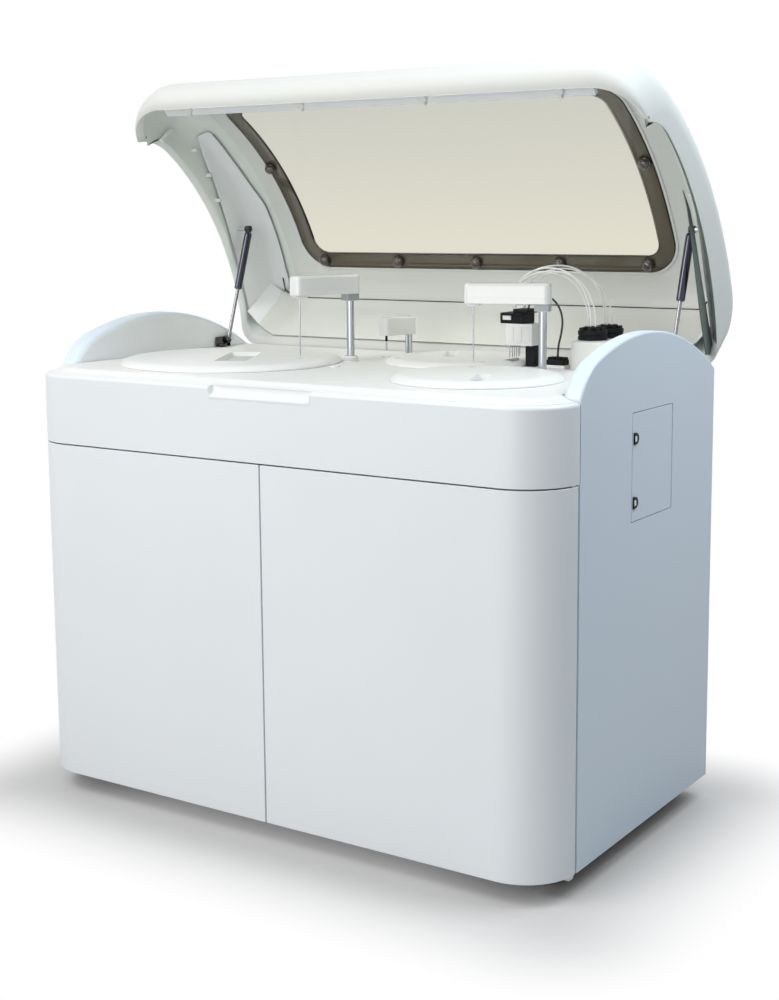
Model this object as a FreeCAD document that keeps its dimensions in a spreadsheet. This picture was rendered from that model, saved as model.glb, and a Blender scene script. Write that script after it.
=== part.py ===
"""Floor-standing chemistry analyzer with its lid open, in millimetres.

The pieces are drawn in a cabinet frame: X from the left side, Y back from the front face and
Z up from the lower edge of the panels. seat() then moves each finished node to the part's own
frame, which stands on the floor under the middle of the object.
"""
import FreeCAD, Part
import math
import os
import re
from types import SimpleNamespace

from FreeCAD import Vector

SIZES = {
    # Cabinet
    "body_width": 1240, "body_depth": 706, "foot_gap": 45, "origin_depth": 431,
    "corner_radius": 107, "wrap_depth": 107, "seam": 3, "door_height": 706,
    "door_wall": 16, "fascia_top": 851, "fascia_wall": 3.5, "flange_width": 40,
    "flange_thickness": 4, "panel_wall": 18, "rear_wall": 4, "rear_panel_top": 815,
    "edge_round": 3, "cut_overrun": 20,
    "fillet_margin": 0.03,
    # Finger scoop under the lid's front rim
    "scoop_left": 503, "scoop_width": 240, "scoop_depth": 14, "scoop_height": 19,
    # Ears: the domes on top of the side panels
    "ear_wall": 40, "ear_crown_depth": 385, "ear_crown_height": 955, "ear_radius": 600,
    "ear_front_radius": 130, "ear_round": 7,
    # Frame
    "tube_width": 40, "frame_inset": 24, "frame_front": 130, "frame_rear": 690,
    "floor_thickness": 3, "bench_top": 702, "bench_thickness": 12, "foot_radius": 24,
    "foot_inset": 56, "foot_thickness": 12, "stem_radius": 8, "nut_radius": 14, "nut_thickness": 8,
    # Door pivots
    "pivot_radius": 3.5, "running_gap": 0.05, "pivot_length": 12, "pivot_plate": 8,
    "pivot_plate_width": 18, "pivot_tab_height": 40,
    # Service hatch in the right side panel
    "hatch_front": 319, "hatch_rear": 501.5, "hatch_bottom": 604, "hatch_top": 810,
    "hatch_wall": 6, "hatch_gap": 1.5, "hatch_pin_radius": 1.5, "hatch_pin_length": 8,
    "catch_length": 22, "catch_width": 12, "catch_height": 3, "catch_edge": 4,
    "catch_low": 641, "catch_high": 761,
    # Deck
    "deck_inset": 28.5, "deck_top": 862, "deck_rear": 690, "deck_round": 6, "ear_gap": 2,
    # Discs under the deck and their lift-off covers
    "reagent_across": 314, "reagent_back": 300, "reagent_cover_radius": 235,
    "reaction_across": 745, "reaction_back": 528, "reaction_cover_radius": 158,
    "sample_across": 950, "sample_back": 250, "sample_cover_radius": 165,
    "cover_lap": 10, "cover_height": 13, "cover_gap": 0.3, "cover_round": 6,
    "grip_depth": 8, "grip_turn": 23, "grip_round": 9,
    "pot_wall": 6, "pot_depth": 120, "disc_gap": 9, "disc_plate": 6, "hub_radius": 25,
    "axle_radius": 6, "motor_radius": 28, "motor_gap": 4, "axle_reach": 18,
    "reagent_tray_height": 76, "sample_tray_height": 60, "rotor_height": 100,
    "reagent_ring": 165.4, "sample_ring": 120, "cuvette_ring": 133, "cuvette_half_width": 9,
    "cuvette_wall": 3, "cuvette_depth": 40, "bottle_pocket_radius": 17,
    "tube_pocket_radius": 8, "bottle_pockets": 24, "tube_pockets": 30,
    # Arms
    "reagent_arm_across": 526, "reagent_arm_back": 440, "reagent_arm_reach": 124,
    "reagent_arm_turn": 246.9, "reagent_arm_height": 1006,
    "sample_arm_across": 988, "sample_arm_back": 440, "sample_arm_reach": 140,
    "sample_arm_turn": 197.2, "sample_arm_height": 996,
    "mixer_across": 570, "mixer_back": 600, "mixer_reach": 63, "mixer_turn": 252.4,
    "mixer_height": 911, "arm_width": 38, "arm_thickness": 41, "arm_overhang": 17,
    "mixer_width": 28, "mixer_overhang": 12,
    "arm_round": 8, "collar_radius": 13, "collar_height": 15, "shaft_radius": 8,
    "shaft_clearance": 0.8, "probe_radius": 1.2, "probe_tip": 879, "probe_hole_radius": 8,
    "probe_in_arm": 10, "carriage_height": 30, "carriage_low": 790, "carriage_wall": 8,
    "guide_radius": 6, "guide_spacing": 32, "guide_foot": 8, "guide_foot_radius": 16,
    "twin_shaft_radius": 4, "twin_spacing": 11, "twin_hole_radius": 14,
    "paddle_width": 5, "paddle_thickness": 1.2, "paddle_height": 16,
    "mixer_thickness": 39, "carriage_motor_length": 24, "carriage_motor_wall": 4,
    "mixer_carriage_low": 760,
    # Wash wells in the deck
    "well_radius": 8, "well_wall": 1.4, "well_depth": 64, "well_rim": 1.3, "well_rim_height": 3,
    "reagent_well_across": 568, "reagent_well_back": 323, "mixer_well_depth": 40,
    # Cuvette wash station
    "wash_column_across": 915.5, "wash_column_back": 531, "wash_column_width": 21,
    "wash_column_height": 70, "wash_slide_gap": 0.4, "wash_block_front": 502,
    "wash_block_left": 868, "wash_block_width": 62, "wash_block_depth": 53,
    "wash_block_low": 906, "wash_block_height": 44, "wash_bracket_left": 856,
    "wash_bracket_width": 66, "wash_bracket_height": 22, "wash_bracket_wall": 5,
    "wash_needle_radius": 1, "wash_needle_step": 3.6, "wash_needles": 6,
    "wash_slot_length": 66, "wash_slot_width": 22,
    # Raised housing with the tube manifolds, and the deck connector
    "housing_left": 1012, "housing_front": 500, "housing_height": 57, "housing_rear": 676,
    "housing_round": 18, "housing_gap": 9, "manifold_radius": 30, "manifold_height": 20,
    "manifold_lid": 7, "manifold_lid_radius": 18, "front_manifold_across": 1038,
    "front_manifold_back": 560, "rear_manifold_across": 1041, "rear_manifold_back": 628,
    "plug_across": 980, "plug_back": 520, "plug_width": 40, "plug_depth": 24,
    "plug_height": 20,
    # Tubes and cable
    "tube_radius": 1.6, "cable_radius": 2.2,
    # Lid
    "hood_wall": 14, "hood_front_wall": 27, "hood_gap": 6, "hood_front_radius": 110,
    "hood_front_top": 891, "hood_crown_depth": 443, "hood_crown_height": 1100,
    "hood_edge_radius": 80, "hood_rear_radius": 80, "hood_rear_corner": 40,
    "hood_back": 700, "hinge_depth": 700, "hinge_height": 838, "lid_angle": 54.6,
    "window_front": 130, "window_rear": 570, "window_low": 905, "window_left": 168, "window_round": 34,
    "pane_lap": 36, "pane_thickness": 4, "pane_gap": 0.3, "knob_radius": 13,
    "knob_height": 14, "knob_rows": 5, "knob_inset": 18, "strip_half_length": 520,
    "strip_width": 28, "strip_height": 12, "strip_low": 876, "clip_length": 16,
    "clip_thickness": 4, "clip_gap": 300, "liner_thickness": 4, "liner_top_inset": 60,
    "liner_edge_inset": 22, "liner_front": 140, "liner_rear": 640, "back_liner_low": 892,
    "back_liner_high": 982, "back_liner_side": 66, "back_liner_corner": 40,
    # Lid hinges
    "lid_pin_radius": 5, "lid_barrel_radius": 10, "lid_leaf_left": 92, "lid_leaf_width": 36,
    "lid_leaf_thickness": 4, "lid_leaf_high": 930, "lid_bracket_width": 20,
    "lid_bracket_front": 655, "lid_leaf_gap": 0.5, "lid_bracket_reach": 8,
    # Gas struts
    "strut_across": 52, "strut_low_depth": 608, "strut_low_height": 877,
    "strut_top_depth": 453, "strut_top_height": 1008, "strut_rod_radius": 4,
    "strut_cylinder_radius": 9, "strut_eye_radius": 8, "strut_eye_width": 8,
    "strut_pin_radius": 3, "strut_cylinder_length": 142, "strut_rod_length": 165,
    "strut_bracket_depth": 26, "strut_bracket_wall": 5, "stud_radius": 5,
    "stud_gap": 0.5, "strut_bore_length": 132,
    # Inside the cabinet
    "tank_width": 190, "tank_depth": 260, "tank_height": 300, "tank_round": 20,
    "tank_left": 110, "tank_front": 250, "tank_spacing": 215, "tank_cap_radius": 32,
    "tank_cap_height": 18, "supply_left": 900, "supply_front": 380, "supply_width": 250,
    "supply_depth": 230, "supply_height": 190, "syringe_left": 300, "syringe_width": 130,
    "syringe_depth": 36, "syringe_height": 120, "syringe_step": 65, "plunger_radius": 4,
    "plunger_length": 120, "plunger_knob_radius": 11, "plunger_knob_height": 8,
    "plunger_inside": 100, "photometer_left": 912, "photometer_front": 556,
    "photometer_width": 60, "photometer_depth": 70, "photometer_height": 60,
    "lens_radius": 10, "lens_length": 5,
    # Rear: ports, switch and vents
    "inlet_left": 980, "inlet_width": 60, "inlet_height": 44, "inlet_low": 110,
    "inlet_depth": 8, "switch_left": 1062, "rocker_width": 20, "rocker_height": 26,
    "rocker_gap": 0.5, "rocker_depth": 12, "rocker_pin_radius": 1, "rocker_pin_length": 2,
    "switch_rim": 3, "switch_depth": 5,
    "spigot_radius": 6, "spigot_length": 24, "spigot_bore": 3.5, "spigot_left": 180,
    "spigot_step": 60, "spigot_height": 140, "spigot_flange_radius": 13,
    "spigot_flange": 4, "spigots": 3, "vent_left": 420, "vent_width": 180,
    "vent_slot": 8, "vent_step": 20, "vent_low": 420, "vents": 8,
}

doc = FreeCAD.newDocument("chemistry_analyzer")
sheet = doc.addObject("Spreadsheet::Sheet", "Sizes")
for row, (word, amount) in enumerate(SIZES.items(), start=1):
    sheet.set(f"A{row}", word)
    sheet.set(f"B{row}", str(amount))
    sheet.setAlias(f"B{row}", word)
doc.recompute()
s = SimpleNamespace(**{word: sheet.get(word) for word in SIZES})

SHEET_WORD = re.compile(r"[a-z][a-z_]+[a-z]")
FUNCTIONS = ("cos", "sin", "tan", "sqrt", "deg")
NODES = {}


# Helpers


def sheet_formula(text):
    """Point each size's name in a formula at its cell in the sheet."""
    return SHEET_WORD.sub(lambda m: m[0] if m[0] in FUNCTIONS else f"Sizes.{m[0]}", text)


def bind(thing, **formulas):
    """Bind properties to formulas of the sheet's sizes; x, y and z place the thing."""
    places = {"x": "Placement.Base.x", "y": "Placement.Base.y", "z": "Placement.Base.z"}
    for name, text in formulas.items():
        thing.setExpression(places.get(name, name), sheet_formula(text))
    return thing


def box(name, x, y, z, across, deep, high):
    piece = doc.addObject("Part::Box", name)
    return bind(piece, Length=across, Width=deep, Height=high, x=x, y=y, z=z)


AXES = {
    "x": FreeCAD.Rotation(Vector(0, 1, 0), 90),
    "y": FreeCAD.Rotation(Vector(1, 0, 0), -90),
    "z": FreeCAD.Rotation(),
}


def rod(name, radius, length, x, y, z, axis="z"):
    """A cylinder that starts at x, y, z and runs along the positive axis."""
    piece = doc.addObject("Part::Cylinder", name)
    piece.Placement.Rotation = AXES[axis]
    return bind(piece, Radius=radius, Height=length, x=x, y=y, z=z)


def cut(name, base, *tools):
    for index, tool in enumerate(tools):
        piece = doc.addObject("Part::Cut", name if tool is tools[-1] else f"{name}_{index}")
        piece.Base, piece.Tool = base, tool
        base = piece
    return base


def fuse(name, *pieces):
    piece = doc.addObject("Part::MultiFuse", name)
    piece.Shapes = list(pieces)
    return piece


def meet(name, *pieces):
    piece = doc.addObject("Part::MultiCommon", name)
    piece.Shapes = list(pieces)
    return piece


def feature(name, shape):
    piece = doc.addObject("Part::Feature", name)
    piece.Shape = shape
    return piece


def rounded(name, base, radius, pick):
    """Round the edges of base that pick chooses by their middle and direction."""
    doc.recompute()
    edges = []
    for index, edge in enumerate(base.Shape.Edges, start=1):
        middle = edge.valueAt((edge.FirstParameter + edge.LastParameter) / 2)
        way = edge.tangentAt(edge.FirstParameter)
        if pick(middle, way, edge):
            edges.append((index, radius, radius))
    piece = doc.addObject("Part::Fillet", name)
    piece.Base, piece.Edges = base, edges
    return piece


def upright(middle, way, edge):
    return abs(way.z) > 0.999


def seat(*things):
    for thing in things:
        bind(thing, x="-body_width / 2", y="-origin_depth", z="foot_gap")


def node(label, *pieces):
    """Gather a node's solids under its label and move it to the part's own frame."""
    group = doc.addObject("Part::Compound", label)
    group.Label = label
    group.Links = list(pieces)
    seat(group)
    NODES[label] = group
    return group


def lid_node(label, *pieces):
    """As node(), but turned about the lid's hinge from closed to open."""
    group = node(label, *pieces)
    for axis in ("x", "y", "z"):
        group.setExpression(f"Placement.Base.{axis}", None)
    hinge = Vector(0, s.hinge_depth, s.hinge_height)
    turn = FreeCAD.Rotation(Vector(-1, 0, 0), s.lid_angle)
    shift = Vector(-s.body_width / 2, -s.origin_depth, s.foot_gap)
    group.Placement = FreeCAD.Placement(shift + hinge - turn.multVec(hinge), turn)
    return group


def on_right(text):
    """The place across the body that mirrors a place on the left."""
    return f"body_width - ({text})"


def around(across, back, reach, turn):
    """A point at reach from a pivot, in the direction turn."""
    angle = math.radians(turn)
    return Vector(across + reach * math.cos(angle), back + reach * math.sin(angle), 0)


# Cabinet: doors, fascia, side and rear panels


def wrap_prism(name, inset, low, high, rear):
    """A slab as deep as rear whose two front corners are rounded, drawn in from the faces."""
    slab = box(name + "_slab", inset, inset, low, f"body_width - 2 * ({inset})",
               f"{rear} - ({inset})", f"{high} - ({low})")
    return slab


def front_upright(depth):
    return lambda middle, way, edge: abs(way.z) > 0.999 and abs(middle.y - depth) < s.seam


def door(side):
    """A door leaf that wraps round its front corner, with a full round at its pivot edge."""
    name = side + "_door"
    left = "0" if side == "left" else "body_width / 2 + seam / 2"
    outer = box(name + "_block", left, "0", "0", "body_width / 2 - seam / 2", "wrap_depth",
                "door_height")
    outside = 0 if side == "left" else s.body_width
    outer = rounded(name + "_outer", outer, s.corner_radius - s.fillet_margin,
                    lambda m, way, e: upright(m, way, e) and m.y < s.seam
                    and abs(m.x - outside) < s.seam)
    hollow_left = "door_wall" if side == "left" else f"{left} - cut_overrun"
    hollow = box(name + "_hollow_block", hollow_left, "door_wall", "-cut_overrun",
                 "body_width / 2 - seam / 2 - door_wall + cut_overrun", "body_depth",
                 "door_height + 2 * cut_overrun")
    inner_side = s.door_wall if side == "left" else s.body_width - s.door_wall
    hollow = rounded(name + "_hollow", hollow, s.corner_radius - s.door_wall,
                     lambda m, way, e: upright(m, way, e) and m.y < s.door_wall + s.seam
                     and abs(m.x - inner_side) < s.seam)
    shell = cut(name + "_shell", outer, hollow)
    shell = rounded(name + "_leaf", shell, s.door_wall / 2 - s.fillet_margin,
                    lambda m, way, e: upright(m, way, e)
                    and abs(m.y - s.wrap_depth) < s.seam)
    pivot = "door_wall / 2" if side == "left" else on_right("door_wall / 2")
    holes = [
        rod(f"{name}_{end}_hole", "pivot_radius + running_gap", "pivot_length + cut_overrun",
            pivot, "wrap_depth - door_wall / 2", level)
        for end, level in (("lower", "-cut_overrun"), ("upper", "door_height - pivot_length"))
    ]
    return node(name, cut(name + "_drilled", shell, *holes))


def door_pivots():
    """Four pivot pins, each on a plate that reaches back to a tab on the frame's front post."""
    pieces = []
    front = "wrap_depth - door_wall / 2 - pivot_plate_width / 2"
    for side in ("left", "right"):
        left = side == "left"
        pin = "door_wall / 2" if left else on_right("door_wall / 2")
        post = "frame_inset" if left else on_right("frame_inset + tube_width")
        plate_left = "fascia_wall + 2 * seam / 3" if left else post
        for end in ("lower", "upper"):
            name = f"{side}_{end}_pivot"
            low = "-seam / 3 - pivot_plate" if end == "lower" else "door_height + seam"
            pin_low = low if end == "lower" else "door_height + seam / 3 - pivot_length"
            tab_low = low if end == "lower" else "door_height + seam"
            plate = box(name + "_plate", plate_left, front, low,
                        "frame_inset + tube_width - fascia_wall - 2 * seam / 3",
                        f"wrap_depth - ({front})", "pivot_plate")
            tongue = box(name + "_tongue", post, front, low, "tube_width",
                         f"frame_front - ({front})", "pivot_plate")
            tab = box(name + "_tab", post, "frame_front - pivot_plate", tab_low, "tube_width",
                      "pivot_plate", "pivot_tab_height")
            stem = rod(name + "_pin", "pivot_radius", "pivot_plate + pivot_length", pin,
                       "wrap_depth - door_wall / 2", pin_low)
            pieces.append(fuse(name, plate, tongue, tab, stem))
    return node("door_pivots", *pieces)


def front_fascia():
    low = "door_height + seam"
    outer = rounded("fascia_outer", wrap_prism("fascia", "0", low, "fascia_top", "wrap_depth"),
                    s.corner_radius - s.fillet_margin, front_upright(0))
    inner = rounded("fascia_inner",
                    wrap_prism("fascia_room", "fascia_wall", f"{low} - cut_overrun",
                               "fascia_top - flange_thickness", "body_depth"),
                    s.corner_radius - s.fascia_wall, front_upright(s.fascia_wall))
    mouth = rounded("fascia_mouth",
                    wrap_prism("fascia_opening", "flange_width", low,
                               "fascia_top + cut_overrun", "body_depth"),
                    s.corner_radius - s.flange_width, front_upright(s.flange_width))
    scoop = box("scoop", "scoop_left", "-cut_overrun",
                "fascia_top - scoop_height", "scoop_width", "scoop_depth + cut_overrun",
                "scoop_height + cut_overrun")
    scoop_wall = box("scoop_wall", "scoop_left - fascia_wall", "0",
                     "fascia_top - scoop_height - fascia_wall",
                     "scoop_width + 2 * fascia_wall", "scoop_depth + fascia_wall",
                     "scoop_height + fascia_wall")
    shell = cut("fascia_shell", outer, inner, mouth)
    return node("front_fascia", cut("fascia", fuse("fascia_with_scoop", shell, scoop_wall),
                                    scoop))


def ear_arcs(grow):
    """Centres and radii of the ear's large and small arcs, grown outward by a gap."""
    large = Vector(0, s.ear_crown_depth, s.ear_crown_height - s.ear_radius)
    between = s.ear_radius - s.ear_front_radius
    start = Vector(0, s.wrap_depth + s.seam / 3, s.fascia_top)
    line = start - large
    reach = line.Length
    along = (between ** 2 - s.ear_front_radius ** 2 + reach ** 2) / (2 * reach)
    aside = math.sqrt(between ** 2 - along ** 2)
    way = Vector(line).normalize()
    small = large + way * along + Vector(0, way.z, -way.y) * aside
    return large, s.ear_radius + grow, small, s.ear_front_radius + grow


def arc_height(centre, radius, depth):
    return centre.z + math.sqrt(radius ** 2 - (depth - centre.y) ** 2)


def arc_front(centre, radius, height):
    return centre.y - math.sqrt(radius ** 2 - (height - centre.z) ** 2)


def side_profile(grow, front, low, rear, start_height):
    """A closed face under the ear's curve, in the plane across the left side."""
    large, large_radius, small, small_radius = ear_arcs(grow)
    away = (small - large).normalize()
    join = large + away * large_radius
    first = Vector(0, arc_front(small, small_radius, start_height), start_height)
    last = Vector(0, rear, arc_height(large, large_radius, rear))
    half = (Vector(first - small).normalize() + Vector(join - small).normalize()).normalize()
    crown_half = (Vector(join - large).normalize() + Vector(last - large).normalize())
    crown = large + crown_half.normalize() * large_radius
    corners = [Vector(0, front, start_height), first]
    edges = []
    if front < first.y:
        edges.append(Part.LineSegment(*corners).toShape())
    edges.append(Part.Arc(first, small + half * small_radius, join).toShape())
    edges.append(Part.Arc(join, crown, last).toShape())
    outline = [last, Vector(0, rear, low), Vector(0, front, low),
               corners[0] if front < first.y else first]
    edges += [Part.LineSegment(a, b).toShape() for a, b in zip(outline, outline[1:])]
    return Part.Face(Part.Wire(edges))


def side_panel(side):
    """A flat side skin that grows into a thick rounded ear above the deck."""
    name = side + "_side_panel"
    _, _, small, small_radius = ear_arcs(0)
    ear_face = side_profile(0, arc_front(small, small_radius, s.fascia_top + s.seam),
                            s.fascia_top, s.body_depth, s.fascia_top + s.seam)
    left = side == "left"
    ear = ear_face.extrude(Vector(s.ear_wall, 0, 0))
    if not left:
        ear.translate(Vector(s.body_width - s.ear_wall, 0, 0))
    skin = box(name + "_skin", "0" if left else on_right("panel_wall"), "wrap_depth + seam",
               "0", "panel_wall", "body_depth - wrap_depth - seam", "fascia_top")
    keep = box(name + "_keep", "0", "wrap_depth + seam", "0", "body_width",
               "body_depth - wrap_depth - seam", "ear_crown_height + cut_overrun")
    ear_piece = meet(name + "_ear", feature(name + "_ear_block", ear), keep)
    body = fuse(name + "_body", skin, ear_piece)
    body = rounded(name + "_round", body, s.ear_round,
                   lambda m, way, e: e.Curve.TypeId == "Part::GeomCircle"
                   and m.z > s.fascia_top)
    if left:
        return node(name, body)
    opening = box("hatch_opening", on_right("panel_wall + cut_overrun"), "hatch_front",
                  "hatch_bottom", "panel_wall + 2 * cut_overrun", "hatch_rear - hatch_front",
                  "hatch_top - hatch_bottom")
    pin_holes = rod("hatch_pin_holes", "hatch_pin_radius + running_gap",
                    "hatch_top - hatch_bottom + 2 * hatch_pin_length",
                    on_right("hatch_wall / 2"), "hatch_rear - hatch_gap - hatch_wall / 2",
                    "hatch_bottom - hatch_pin_length")
    return node(name, cut(name + "_cut", body, opening, pin_holes))


def hatch_door():
    plate = box("hatch_plate", on_right("hatch_wall"), "hatch_front + hatch_gap",
                "hatch_bottom + hatch_gap", "hatch_wall",
                "hatch_rear - hatch_front - 2 * hatch_gap",
                "hatch_top - hatch_bottom - 2 * hatch_gap")
    plate = rounded("hatch_leaf", plate, s.hatch_wall / 2 - s.fillet_margin,
                    lambda m, way, e: upright(m, way, e) and m.y > s.hatch_rear - s.hatch_wall)
    pin = rod("hatch_pin", "hatch_pin_radius",
              "hatch_top - hatch_bottom + 2 * hatch_pin_length - 2 * hatch_gap",
              on_right("hatch_wall / 2"), "hatch_rear - hatch_gap - hatch_wall / 2",
              "hatch_bottom - hatch_pin_length + hatch_gap")
    node("hatch_door", fuse("hatch_with_pin", plate, pin))
    catches = [
        box(f"hatch_catch_{index}", "body_width", "hatch_front + hatch_gap + catch_edge",
            f"{height} - catch_length / 2", "catch_height", "catch_width", "catch_length")
        for index, height in enumerate(("catch_low", "catch_high"))
    ]
    node("hatch_catches", *catches)


def rear_panel():
    panel = box("rear_sheet", "panel_wall", "body_depth - rear_wall", "0",
                "body_width - 2 * panel_wall", "rear_wall", "rear_panel_top")
    slots = [
        box(f"vent_{index}", "vent_left", "body_depth - rear_wall - cut_overrun",
            f"vent_low + vent_step * {index}", "vent_width", "rear_wall + 2 * cut_overrun",
            "vent_slot")
        for index in range(int(s.vents))
    ]
    rocker_hole = box("rocker_hole", "switch_left - rocker_gap",
                      "body_depth - rear_wall - cut_overrun", "inlet_low - rocker_gap",
                      "rocker_width + 2 * rocker_gap", "rear_wall + 2 * cut_overrun",
                      "rocker_height + 2 * rocker_gap")
    return node("rear_panel", cut("rear_panel_cut", panel, *slots, rocker_hole))


# Frame and feet


def frame_posts():
    """Names and left and front places of the four corner posts."""
    right = on_right("frame_inset + tube_width")
    rear = "frame_rear - tube_width"
    return {
        "front_left": ("frame_inset", "frame_front"), "front_right": (right, "frame_front"),
        "rear_left": ("frame_inset", rear), "rear_right": (right, rear),
    }


def base_frame():
    pieces = [
        box(f"{name}_post", x, y, "0", "tube_width", "tube_width", "fascia_top")
        for name, (x, y) in frame_posts().items()
    ]
    rail_low = "bench_top - bench_thickness - tube_width"
    for level, low in (("lower", "0"), ("upper", rail_low)):
        for end, y in (("front", "frame_front"), ("rear", "frame_rear - tube_width")):
            pieces.append(box(f"{level}_{end}_rail", "frame_inset", y, low,
                              "body_width - 2 * frame_inset", "tube_width", "tube_width"))
        for side, x in (("left", "frame_inset"),
                        ("right", on_right("frame_inset + tube_width"))):
            pieces.append(box(f"{level}_{side}_rail", x, "frame_front", low, "tube_width",
                              "frame_rear - frame_front", "tube_width"))
    plates = (("floor_sheet", "tube_width", "floor_thickness"),
              ("bench_plate", "bench_top - bench_thickness", "bench_thickness"))
    for name, low, high in plates:
        pieces.append(box(name, "frame_inset", "frame_front", low,
                          "body_width - 2 * frame_inset", "frame_rear - frame_front", high))
    return node("base_frame", fuse("frame", *pieces))


def levelling_feet():
    """Four feet screwed into the lower cross rails, a little in from the posts."""
    feet = []
    for name, (x, y) in frame_posts().items():
        inward = "foot_inset" if name.endswith("left") else "-foot_inset"
        centre = (f"{x} + tube_width / 2 + {inward}", f"{y} + tube_width / 2")
        feet.append(fuse(
            f"{name}_foot",
            rod(f"{name}_pad", "foot_radius", "foot_thickness", *centre, "-foot_gap"),
            rod(f"{name}_stem", "stem_radius", "foot_gap", *centre, "-foot_gap"),
            rod(f"{name}_nut", "nut_radius", "nut_thickness", *centre, "-nut_thickness")))
    return node("levelling_feet", *feet)


# Deck with its wells, and the three covers


def arm_points():
    """Where each probe or paddle hangs, at rest and at the other places it works."""
    reagent = (s.reagent_arm_across, s.reagent_arm_back, s.reagent_arm_reach)
    sample = (s.sample_arm_across, s.sample_arm_back, s.sample_arm_reach)
    mixer = (s.mixer_across, s.mixer_back, s.mixer_reach)
    reaction = Vector(s.reaction_across, s.reaction_back, 0)
    sample_disc = Vector(s.sample_across, s.sample_back, 0)
    return {
        "reagent_rest": around(*reagent, s.reagent_arm_turn),
        "sample_rest": around(*sample, s.sample_arm_turn),
        "mixer_rest": around(*mixer, s.mixer_turn),
        "reagent_at_reaction": reach_ring(reagent, reaction, s.cuvette_ring, -1),
        "sample_at_reaction": reach_ring(sample, reaction, s.cuvette_ring, 1),
        "mixer_at_reaction": reach_ring(mixer, reaction, s.cuvette_ring, -1),
        "sample_at_sample": reach_ring(sample, sample_disc, s.sample_ring, -1),
    }


def reach_ring(arm, centre, ring, side):
    """Where an arm's tip meets a ring of a disc, on one side of the line of centres."""
    across, back, reach = arm
    line = centre - Vector(across, back, 0)
    gap = line.Length
    bend = math.degrees(math.acos((gap ** 2 + reach ** 2 - ring ** 2) / (2 * gap * reach)))
    return around(across, back, reach, math.degrees(math.atan2(line.y, line.x)) + side * bend)


def hole_at(name, point, radius, low, high):
    """A plain cutter at a point that other sizes decide."""
    return feature(name, Part.makeCylinder(radius, high - low, Vector(point.x, point.y, low)))


DISCS = ("reagent", "reaction", "sample")


def deck_outline(inset):
    """The deck's outline: rounded in front, and narrower behind between the ears."""
    low = s.deck_inset + inset
    step = s.wrap_depth + s.seam / 3 - inset
    narrow = s.ear_wall + s.ear_gap + inset
    rear = s.deck_rear - inset
    radius = s.corner_radius - s.deck_inset - inset
    bend = radius * (1 - math.sqrt(0.5))
    right = s.body_width
    edges = [
        Part.Arc(Vector(low, low + radius, 0), Vector(low + bend, low + bend, 0),
                 Vector(low + radius, low, 0)),
        Part.LineSegment(Vector(low + radius, low, 0), Vector(right - low - radius, low, 0)),
        Part.Arc(Vector(right - low - radius, low, 0),
                 Vector(right - low - bend, low + bend, 0),
                 Vector(right - low, low + radius, 0)),
    ]
    corners = [Vector(right - low, low + radius, 0), Vector(right - low, step, 0),
               Vector(right - narrow, step, 0), Vector(right - narrow, rear, 0),
               Vector(narrow, rear, 0), Vector(narrow, step, 0), Vector(low, step, 0),
               Vector(low, low + radius, 0)]
    edges += [Part.LineSegment(a, b) for a, b in zip(corners, corners[1:])
              if (a - b).Length > s.running_gap]
    return Part.Face(Part.Wire([edge.toShape() for edge in edges]))


def work_deck():
    low, high = s.fascia_top, s.deck_top
    plate = deck_outline(0).extrude(Vector(0, 0, high - low))
    plate.translate(Vector(0, 0, low))
    body = rounded("deck_plate", feature("deck_block", plate), s.deck_round,
                   lambda m, way, e: m.z > high - s.fillet_margin
                   and (m.y < s.wrap_depth - s.seam or m.y > s.deck_rear - s.seam))
    holes = []
    for disc in DISCS:
        holes.append(rod(f"{disc}_well_hole", f"{disc}_cover_radius - cover_lap",
                         "cut_overrun * 2", f"{disc}_across", f"{disc}_back",
                         "fascia_top - cut_overrun"))
    for arm, radius in (("reagent_arm", "shaft_radius + shaft_clearance"),
                        ("sample_arm", "shaft_radius + shaft_clearance"),
                        ("mixer", "twin_hole_radius")):
        holes.append(rod(f"{arm}_shaft_hole", radius, "cut_overrun * 2", f"{arm}_across",
                         f"{arm}_back", "fascia_top - cut_overrun"))
    for name, point in wash_well_points().items():
        holes.append(hole_at(f"{name}_well_cut", point, s.well_radius + s.well_wall,
                             low - s.cut_overrun, high + s.cut_overrun))
    return node("work_deck", cut("deck", body, *holes))


def wash_well_points():
    points = arm_points()
    return {
        "reagent": Vector(s.reagent_well_across, s.reagent_well_back, 0),
        "sample": points["sample_rest"],
        "mixer": points["mixer_rest"],
    }


def wash_wells():
    """Three small cups let into the deck, each with a rim that rests on it."""
    cups = []
    for name, point in wash_well_points().items():
        depth = s.mixer_well_depth if name == "mixer" else s.well_depth
        outer = s.well_radius + s.well_wall - s.cover_gap
        low = s.deck_top - depth
        body = Part.makeCylinder(outer, depth, Vector(point.x, point.y, low))
        rim = Part.makeCylinder(outer + s.well_rim, s.well_rim_height,
                                Vector(point.x, point.y, s.deck_top))
        room = Part.makeCylinder(s.well_radius - s.cover_gap, depth + s.cut_overrun,
                                 Vector(point.x, point.y, low + s.well_wall))
        cups.append(feature(f"{name}_wash_well", body.fuse(rim).cut(room)))
    return node("wash_wells", *cups)


COVER_HOLES = {
    "reagent": ("reagent_rest",),
    "reaction": ("reagent_at_reaction", "sample_at_reaction", "mixer_at_reaction"),
    "sample": ("sample_at_sample",),
}
GRIP_LENGTH_SHARE = 0.84
GRIP_WIDTH_SHARE = 0.3


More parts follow.
